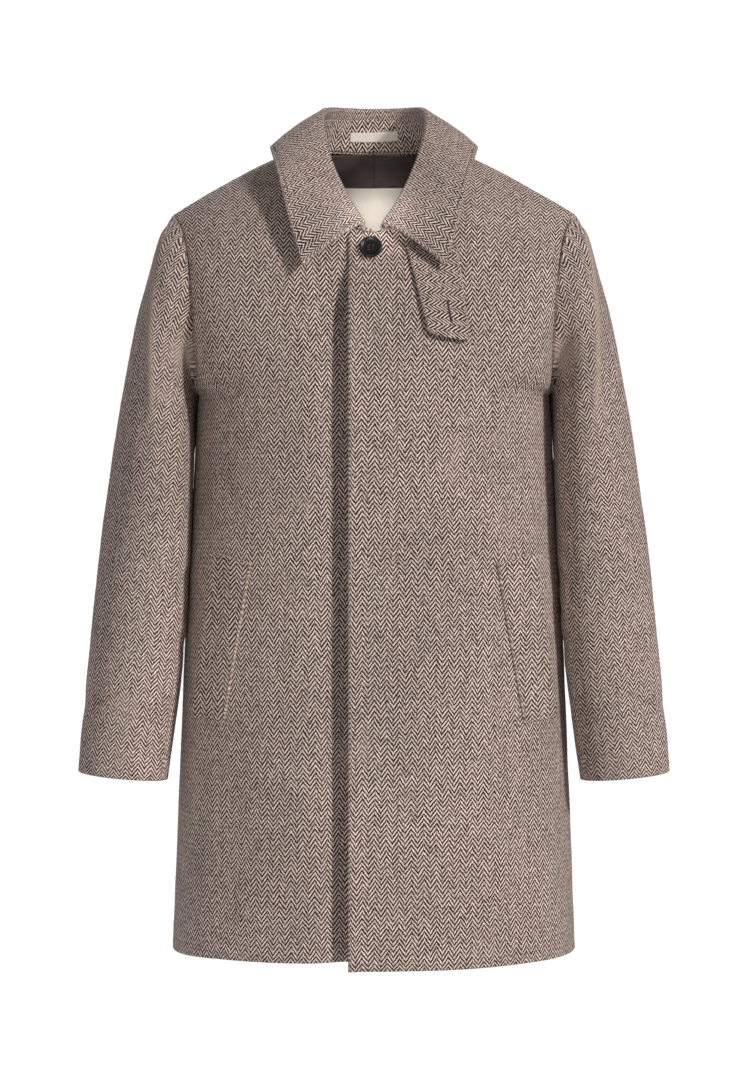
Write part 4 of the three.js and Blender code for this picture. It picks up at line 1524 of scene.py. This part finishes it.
def makeButton():
    radius, thick, sides = button["radius"], button["thickness"], button["sides"]
    profile = [
        (radius - 2.4, 0), (radius - 1.2, 0.25), (radius - 0.4, 0.9), (radius - 0.05, 1.6),
        (radius, 2.2), (radius - 0.15, 2.9), (radius - 0.5, thick - 0.55),
        (radius - 0.95, thick - 0.15), (radius - 1.5, thick), (radius - 2.1, thick - 0.1),
        (radius - 2.7, thick - 0.45), (radius - 3.2, thick - 0.95), (radius - 3.9, thick - 1.3),
        (radius - 5, thick - 1.45), (radius - 7.5, thick - 1.5),
    ]
    shape = bmesh.new()
    rings = []
    for out, height in profile:
        rings.append([
            shape.verts.new((out * math.cos(a), -height, out * math.sin(a)))
            for a in [2 * math.pi * k / sides for k in range(sides)]
        ])
    for lower, upper in zip(rings, rings[1:]):
        for k in range(sides):
            n = (k + 1) % sides
            shape.faces.new([lower[k], lower[n], upper[n], upper[k]])
    shape.faces.new(rings[0][::-1])
    shape.faces.new(rings[-1])
    bmesh.ops.recalc_face_normals(shape, faces=shape.faces)
    mesh = bpy.data.meshes.new("buttonNeck")
    shape.to_mesh(mesh)
    shape.free()
    piece = bpy.data.objects.new("buttonNeck", mesh)
    bpy.context.scene.collection.objects.link(piece)
    drills = []
    for sideX in (-1, 1):
        for sideZ in (-1, 1):
            drill = bmesh.new()
            bmesh.ops.create_cone(drill, cap_ends=True, segments=20, depth=thick * 3,
                                  radius1=button["holeRadius"], radius2=button["holeRadius"])
            for vert in drill.verts:
                x, y, z = vert.co
                vert.co = (x + sideX * button["holeSpacing"], z, y + sideZ * button["holeSpacing"])
            bmesh.ops.recalc_face_normals(drill, faces=drill.faces)
            drillMesh = bpy.data.meshes.new("drill")
            drill.to_mesh(drillMesh)
            drill.free()
            cutter = bpy.data.objects.new("drill", drillMesh)
            bpy.context.scene.collection.objects.link(cutter)
            drills.append(cutter)
            cut = piece.modifiers.new("hole", "BOOLEAN")
            cut.object, cut.operation, cut.solver = cutter, "DIFFERENCE", "EXACT"
    graph = bpy.context.evaluated_depsgraph_get()
    piece.data = bpy.data.meshes.new_from_object(piece.evaluated_get(graph))
    piece.modifiers.clear()
    for cutter in drills:
        bpy.data.objects.remove(cutter)
    point, normal, turn = buttonSeat()
    for vert in piece.data.vertices:
        vert.co = (turn @ vert.co + point + normal * button["gap"]) / 1000
    for polygon in piece.data.polygons:
        polygon.use_smooth = True
    sharp = piece.data.attributes.new("sharp_edge", "BOOLEAN", "EDGE")
    work = bmesh.new()
    work.from_mesh(piece.data)
    work.edges.ensure_lookup_table()
    flags = [len(e.link_faces) == 2 and e.calc_face_angle(0) > 0.7 for e in work.edges]
    work.free()
    sharp.data.foreach_set("value", flags)
    piece.data.materials.append(buttonMaterial())
    return piece


print("turning the button")
buttonNeck = makeButton()
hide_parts("button_neck")
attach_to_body(buttonNeck, "root")

# stitches, buttonhole and nap


class Recipe:
    # a Geometry Nodes tree with named inputs

    def __init__(self, name, **defaults):
        self.tree = bpy.data.node_groups.new(name, "GeometryNodeTree")
        face = self.tree.interface
        face.new_socket("Geometry", in_out="INPUT", socket_type="NodeSocketGeometry")
        self.inputs = {}
        for label, value in defaults.items():
            kind = "NodeSocketInt" if isinstance(value, int) else "NodeSocketFloat"
            socket = face.new_socket(label, in_out="INPUT", socket_type=kind)
            socket.default_value = value
            self.inputs[label] = socket.identifier
        face.new_socket("Geometry", in_out="OUTPUT", socket_type="NodeSocketGeometry")
        self.given = self.tree.nodes.new("NodeGroupInput").outputs

    def node(self, kind, settings=None, inputs=None):
        made = self.tree.nodes.new(kind)
        for key, value in (settings or {}).items():
            setattr(made, key, value)
        for key, value in (inputs or {}).items():
            if isinstance(value, bpy.types.NodeSocket):
                self.tree.links.new(value, made.inputs[key])
            else:
                made.inputs[key].default_value = value
        return made.outputs

    def finish(self, geometry, material):
        real = self.node("GeometryNodeRealizeInstances", None, {0: geometry})[0]
        inputs = {"Geometry": real, "Material": material}
        done = self.node("GeometryNodeSetMaterial", None, inputs)[0]
        self.tree.links.new(done, self.tree.nodes.new("NodeGroupOutput").inputs[0])

    def make(self, name, points, edges, faces, **values):
        mesh = bpy.data.meshes.new(name)
        mesh.from_pydata([point / 1000 for point in points], edges, faces)
        host = bpy.data.objects.new(name, mesh)
        bpy.context.scene.collection.objects.link(host)
        modifier = host.modifiers.new("recipe", "NODES")
        modifier.node_group = self.tree
        for label, value in values.items():
            modifier[self.inputs[label]] = value
        graph = bpy.context.evaluated_depsgraph_get()
        grown = bpy.data.meshes.new_from_object(host.evaluated_get(graph))
        host.modifiers.clear()
        host.data = grown
        grown.name = name
        return host


def threadMaterial(name, tint, sheen=0.2):
    s = Shader(name)
    place = s.node("ShaderNodeTexCoord", None, None, "Object")
    twist = s.noise(place, 1800.0, 2.0)
    light = tuple(min(1, value * 1.7) for value in tint[:3]) + (1,)
    return s.finish({
        "Base Color": s.mixColour(twist, tint, light),
        "Roughness": s.between(twist, 0.3, 0.7, 0.6, 0.85),
        "Sheen Weight": sheen,
    })


def stitchRecipe(material):
    # one stitch at each step along a line
    r = Recipe("stitchesAlongLine", Pitch=0.0034, Length=0.0024, Thickness=0.0006)
    line = r.node("GeometryNodeMeshToCurve", None, {"Mesh": r.given["Geometry"]})[0]
    steps = r.node("GeometryNodeResampleCurve", {"mode": "LENGTH"},
                   {"Curve": line, "Length": r.given["Pitch"]})[0]
    grain = r.node("GeometryNodeMeshUVSphere", None, {"Segments": 6, "Rings": 4, "Radius": 0.5})[0]
    size = r.node("ShaderNodeCombineXYZ", None, {
        "X": r.given["Length"], "Y": r.given["Thickness"], "Z": r.given["Thickness"]})[0]
    stitch = r.node("GeometryNodeTransform", None, {"Geometry": grain, "Scale": size})[0]
    tangent = r.node("GeometryNodeInputTangent")[0]
    turn = r.node("FunctionNodeAlignRotationToVector", {"axis": "X"}, {"Vector": tangent})[0]
    laid = r.node("GeometryNodeInstanceOnPoints", None,
                  {"Points": steps, "Instance": stitch, "Rotation": turn})[0]
    r.finish(laid, material)
    return r


def threadRecipe(material):
    # each line becomes a thin thread
    r = Recipe("threads", Thickness=0.0006)
    line = r.node("GeometryNodeMeshToCurve", None, {"Mesh": r.given["Geometry"]})[0]
    ring = r.node("GeometryNodeCurvePrimitiveCircle", None, {"Resolution": 6, "Radius": 0.5})[0]
    size = r.node("ShaderNodeCombineXYZ", None, {
        "X": r.given["Thickness"], "Y": r.given["Thickness"], "Z": r.given["Thickness"]})[0]
    ring = r.node("GeometryNodeTransform", None, {"Geometry": ring, "Scale": size})[0]
    tube = r.node("GeometryNodeCurveToMesh", None,
                  {"Curve": line, "Profile Curve": ring, "Fill Caps": True})[0]
    r.finish(tube, material)
    return r


def fibreRecipe(material):
    # short bent fibres that stand off the cloth
    r = Recipe("woolFibres", Density=20000.0, Length=0.0028, Thickness=0.00016, Seed=3)
    spots = r.node("GeometryNodeDistributePointsOnFaces", {"distribute_method": "RANDOM"},
                   {"Mesh": r.given["Geometry"], "Density": r.given["Density"],
                    "Seed": r.given["Seed"]})
    strip = r.node("GeometryNodeMeshGrid", None, {
        "Size X": r.given["Thickness"], "Size Y": r.given["Length"], "Vertices X": 2,
        "Vertices Y": 4})[0]
    half = r.node("ShaderNodeMath", {"operation": "MULTIPLY"}, {0: r.given["Length"], 1: 0.5})[0]
    up = r.node("ShaderNodeCombineXYZ", None, {"Z": half})[0]
    strip = r.node("GeometryNodeTransform", None, {
        "Geometry": strip, "Translation": up, "Rotation": (math.pi / 2, 0, 0)})[0]
    place = r.node("GeometryNodeInputPosition")[0]
    height = r.node("ShaderNodeSeparateXYZ", None, {0: place})[2]
    square = r.node("ShaderNodeMath", {"operation": "MULTIPLY"}, {0: height, 1: height})[0]
    bend = r.node("ShaderNodeMath", {"operation": "MULTIPLY"}, {0: square, 1: 170.0})[0]
    offset = r.node("ShaderNodeCombineXYZ", None, {"Y": bend})[0]
    strip = r.node("GeometryNodeSetPosition", None, {"Geometry": strip, "Offset": offset})[0]
    angles = r.node("FunctionNodeRandomValue", {"data_type": "FLOAT_VECTOR"}, {
        0: (-1.15, -1.15, 0.0), 1: (1.15, 1.15, 6.28), "Seed": 11})[0]
    tilt = r.node("FunctionNodeEulerToRotation", None, {0: angles})[0]
    turn = r.node("FunctionNodeRotateRotation", {"rotation_space": "LOCAL"},
                  {0: spots["Rotation"], 1: tilt})[0]
    size = r.node("FunctionNodeRandomValue", {"data_type": "FLOAT"}, {
        2: 0.45, 3: 1.25, "Seed": 5})[1]
    laid = r.node("GeometryNodeInstanceOnPoints", None, {
        "Points": spots["Points"], "Instance": strip, "Rotation": turn, "Scale": size})[0]
    r.finish(laid, material)
    return r


stitching = {"pitch": 3.6, "length": 2.5, "thickness": 0.62, "rise": 0.05}


def collarStitchLine(sheet):
    # along the leaf, a little way inside its edge
    rows = [[sheet.points[i] for i in ids] for ids in sheet.ids]
    normals = [[sheet.normals[i] for i in ids] for ids in sheet.ids]
    inside = collar["stitchIn"]
    line = []
    for row, facing in zip(rows[2:-2], normals[2:-2]):
        down = lengths(row)
        j = max(k for k in range(len(down)) if down[k] <= down[-1] - inside)
        share = (down[-1] - inside - down[j]) / (down[j + 1] - down[j])
        line.append(row[j].lerp(row[j + 1], share) + facing[j] * stitching["rise"])
    return line


def frontStitchLine(sheet, last):
    # down the leaf's short front edge
    rows = [[sheet.points[i] for i in ids] for ids in sheet.ids]
    normals = [[sheet.normals[i] for i in ids] for ids in sheet.ids]
    if last:
        rows, normals = rows[::-1], normals[::-1]
    rollAt = collar["endRows"] + collar["foldRows"] + 1
    line = []
    for j in range(rollAt, len(rows[0]) - 5):
        column = [row[j] for row in rows]
        away = lengths(column)
        i = max(k for k in range(len(away)) if away[k] <= collar["stitchIn"])
        share = (collar["stitchIn"] - away[i]) / (away[i + 1] - away[i])
        line.append(column[i].lerp(column[i + 1], share) + normals[i][j] * stitching["rise"])
    return line


def lineOver(sheet, start, end, steps, offset):
    return [
        over(sheet, mix(start[0], end[0], k / steps), mix(start[1], end[1], k / steps), offset)
        for k in range(steps + 1)
    ]


def joined(lines):
    # lines of points as one set of points and edges
    points, edges = [], []
    for line in lines:
        edges += [(len(points) + k, len(points) + k + 1) for k in range(len(line) - 1)]
        points += line
    return points, edges


def weltLines(sheet, side):
    # along both ends and the inner side
    inset, end = welt["stitchInset"], welt["stitchEnd"]
    shares = ((inset, end), (1 - inset, end), (1 - inset, 1 - end), (inset, 1 - end))
    corners = [weltPlace(side, inward, down) for inward, down in shares]
    return [
        lineOver(sheet, corners[a], corners[b], welt["stitchSteps"], welt["stitchRise"])
        for a, b in ((1, 2), (2, 3), (0, 1))
    ]


buttonhole = {"top": (78.5, -175), "end": (82.5, -197), "threadPitch": 0.85, "reach": 1.3,
              "thickness": 0.55, "slitRise": 0.1, "slitWidth": 1.3, "slitSteps": 24,
              "threadSteps": ((0.12, -0.25), (0.4, 0.3), (0.8, 0.32), (1.0, -0.15)),
              "barSteps": ((-1.15, -0.2), (-0.6, 0.5), (0.6, 0.5), (1.15, -0.2))}


def buttonholeThreads(sheet):
    # threads side by side round the slit, and a bar across each end
    top, end = buttonhole["top"], buttonhole["end"]
    alongX, alongZ = end[0] - top[0], end[1] - top[1]
    length = math.hypot(alongX, alongZ)
    alongX, alongZ = alongX / length, alongZ / length

    def thread(middle, side, steps):
        line = []
        for step, rise in steps:
            off = side * step * buttonhole["reach"]
            x = top[0] + alongX * middle - alongZ * off
            z = top[1] + alongZ * middle + alongX * off
            line.append(over(sheet, x, z, rise))
        return line

    lines = []
    count = int(length / buttonhole["threadPitch"])
    for side in (-1, 1):
        for k in range(count + 1):
            lines.append(thread(length * k / count, side, buttonhole["threadSteps"]))
    for middle in (-0.7, -0.2, length + 0.2, length + 0.7):
        lines.append(thread(middle, 1, buttonhole["barSteps"]))
    return lines


def labelLines():
    # along the label's top and down both sides
    across = mainLabel["halfWidth"] - mainLabel["stitchIn"]
    top = mainLabel["topZ"] - mainLabel["stitchIn"]
    bottom = mainLabel["bottomZ"] + mainLabel["stitchIn"]
    rise = mainLabel["offset"] - mainLabel["stitchRise"]
    ends = (
        ((-across, top), (across, top)),
        ((-across, top), (-across, bottom)),
        ((across, top), (across, bottom)),
    )
    return [lineOver(sheets["back"], start, end, 60, rise) for start, end in ends]


def buttonThreads():
    point, normal, turn = buttonSeat()
    face = button["thickness"] - 1.5
    spread = button["holeSpacing"]
    lines = []
    for sideX in (-1, 1):
        for shift in (-0.35, 0.35):
            line = []
            for z, height in ((-1.0, -1.0), (-0.75, 0.25), (0, 0.55), (0.75, 0.25), (1.0, -1.0)):
                local = Vector((sideX * spread + shift, -(face + height), z * spread))
                line.append(turn @ local + point + normal * button["gap"])
            lines.append(line)
    return lines


def attach(piece):
    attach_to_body(piece, "root")


def sew(recipe, name, slot, lines, **sizes):
    # sizes are in millimetres
    points, edges = joined(lines)
    metres = {label: size / 1000 for label, size in sizes.items()}
    attach(recipe.make(name, points, edges, [], **metres))


print("sewing")
woolThread = threadMaterial("woolThread", colour(62, 48, 42))
creamThread = threadMaterial("creamThread", colour(206, 190, 168))
# near-black thread colour, used only for the buttonhole slit: painted shadow
paintedSlitShadow = threadMaterial("paintedSlitShadow", colour(42, 32, 29))
blackThread = threadMaterial("blackThread", colour(14, 14, 15))
fallSheet, frontSheet = sheets["collarFall"], sheets["frontLeft"]
sewn = {
    "collarStitches": [
        collarStitchLine(fallSheet), frontStitchLine(fallSheet, False),
        frontStitchLine(fallSheet, True),
    ],
    "placketStitches": [
        lineOver(frontSheet, (placket["stitchX"], -142), (placket["stitchX"], -806), 130, 0.05)
    ],
    "weltLeftStitches": weltLines(sheets["weltLeft"], 1),
    "weltRightStitches": weltLines(sheets["weltRight"], -1),
}
stitches = stitchRecipe(woolThread)
for name, lines in sewn.items():
    sew(stitches, name, "wool_cloth", lines, Pitch=stitching["pitch"],
        Length=stitching["length"], Thickness=stitching["thickness"])
sew(threadRecipe(woolThread), "buttonholeThreads", "wool_cloth",
    buttonholeThreads(sheets["throatTab"]), Thickness=buttonhole["thickness"])
# the buttonhole's slit is a dark tube laid on the tab: painted shadow standing for the shade inside
# the cut
slit = lineOver(sheets["throatTab"], buttonhole["top"], buttonhole["end"],
                buttonhole["slitSteps"], buttonhole["slitRise"])
sew(threadRecipe(paintedSlitShadow), "buttonholePaintedShadow", "wool_cloth", [slit],
    Thickness=buttonhole["slitWidth"])
sew(threadRecipe(blackThread), "buttonThreads", "button_horn", buttonThreads(), Thickness=0.7)
sew(stitchRecipe(creamThread), "labelStitches", "label_cloth", labelLines(),
    Pitch=2.2, Length=1.5, Thickness=0.3)

napPieces = {
    "frontLeft": 12000.0, "frontRight": 12000.0, "back": 10000.0,
    "sleeveLeftUpper": 15000.0, "sleeveRightUpper": 15000.0, "sleeveLeftUnder": 10000.0,
    "sleeveRightUnder": 10000.0, "collarFall": 9000.0, "throatTab": 9000.0,
}
fibres = fibreRecipe(threadMaterial("woolFibre", colour(150, 132, 122)))
for k, (name, density) in enumerate(napPieces.items()):
    sheet = sheets[name]
    points = [point - normal * 0.2 for point, normal in zip(sheet.points, sheet.normals)]
    piece = fibres.make(name + "Fibres", points, [], sheet.quads, Density=density, Seed=k)
    attach(piece)
    print(piece.name, len(piece.data.polygons))

# floor, light and camera

studio = {
    "floorZ": -1.42,
    "floorRadius": 1.6,
    "worldStrength": 0.13,
    "distance": 2.8,
    "heightZ": -0.43,
    "lens": 83.35,
}


def hangLamp(data, place, target):
    lamp = bpy.data.objects.new(data.name, data)
    lamp.location = place
    lamp.rotation_mode = "QUATERNION"
    lamp.rotation_quaternion = (Vector(target) - Vector(place)).to_track_quat("-Z", "Y")
    bpy.context.scene.collection.objects.link(lamp)


def areaLight(name, place, target, size, power, tint=(1, 1, 1)):
    data = bpy.data.lights.new(name, "AREA")
    data.shape, data.size, data.energy, data.color = "DISK", size, power, tint
    hangLamp(data, place, target)


def spotLight(name, place, target, degrees, power):
    data = bpy.data.lights.new(name, "SPOT")
    data.spot_size, data.spot_blend, data.energy = math.radians(2 * degrees), 0.6, power
    data.shadow_soft_size = 0.03
    hangLamp(data, place, target)


def makeFloor():
    # a pale round floor, below what the camera sees
    shape = bmesh.new()
    bmesh.ops.create_circle(shape, cap_ends=True, segments=128, radius=studio["floorRadius"])
    for vert in shape.verts:
        vert.co.z = studio["floorZ"]
    mesh = bpy.data.meshes.new("studioFloor")
    shape.to_mesh(mesh)
    shape.free()
    floor = bpy.data.objects.new("studioFloor", mesh)
    bpy.context.scene.collection.objects.link(floor)
    s = Shader("paleStudioFloor")
    mesh.materials.append(s.finish({
        "Base Color": (0.86, 0.86, 0.86, 1), "Roughness": 0.9, "Specular IOR Level": 0.0,
    }))


def makeWorld():
    world = bpy.data.worlds.new("studioWhite")
    bpy.context.scene.world = world
    world.use_nodes = True
    tree = world.node_tree
    tree.nodes.clear()
    seen = tree.nodes.new("ShaderNodeLightPath")
    white = tree.nodes.new("ShaderNodeBackground")
    soft = tree.nodes.new("ShaderNodeBackground")
    white.inputs["Color"].default_value = (1, 1, 1, 1)
    white.inputs["Strength"].default_value = 1.05
    soft.inputs["Color"].default_value = (1, 0.99, 0.98, 1)
    soft.inputs["Strength"].default_value = studio["worldStrength"]
    blend = tree.nodes.new("ShaderNodeMixShader")
    out = tree.nodes.new("ShaderNodeOutputWorld")
    tree.links.new(seen.outputs["Is Camera Ray"], blend.inputs[0])
    tree.links.new(soft.outputs[0], blend.inputs[1])
    tree.links.new(white.outputs[0], blend.inputs[2])
    tree.links.new(blend.outputs[0], out.inputs[0])


def makeCamera():
    data = bpy.data.cameras.new("camera")
    data.sensor_width, data.lens, data.sensor_fit = 36.0, studio["lens"], "AUTO"
    camera = bpy.data.objects.new("camera", data)
    camera.location = (0, -studio["distance"], studio["heightZ"])
    camera.rotation_euler = (math.pi / 2, 0, 0)
    bpy.context.scene.collection.objects.link(camera)
    bpy.context.scene.camera = camera


print("setting the studio")
makeFloor()
makeWorld()
makeCamera()
areaLight("keyRight", (6.1, -5.5, 3.5), (0, 0, -0.35), 1.1, 600, (1, 0.985, 0.98))
areaLight("fillFront", (-0.9, -3.2, 0.3), (0, 0, -0.5), 1.6, 9)
areaLight("fillLeft", (-4.5, -1.2, 0.6), (-0.1, 0, -0.4), 1.5, 24)
areaLight("rimLight", (-0.55, -1.9, -1.3), (0, -0.1, -0.12), 0.3, 4)
spotLight("neckLight", (0.02, -2.75, -0.36), (-0.001, 0.11, -0.05), 0.85, 350)
spotLight("standLight", (0.02, -2.75, -0.36), (0.002, 0.055, 0.028), 0.75, 95)
areaLight("backLight", (-0.6, 2.8, 1.4), (0, 0, -0.4), 1.6, 60)
bpy.context.scene.view_settings.view_transform = "Standard"
bpy.context.scene.view_settings.look = "None"
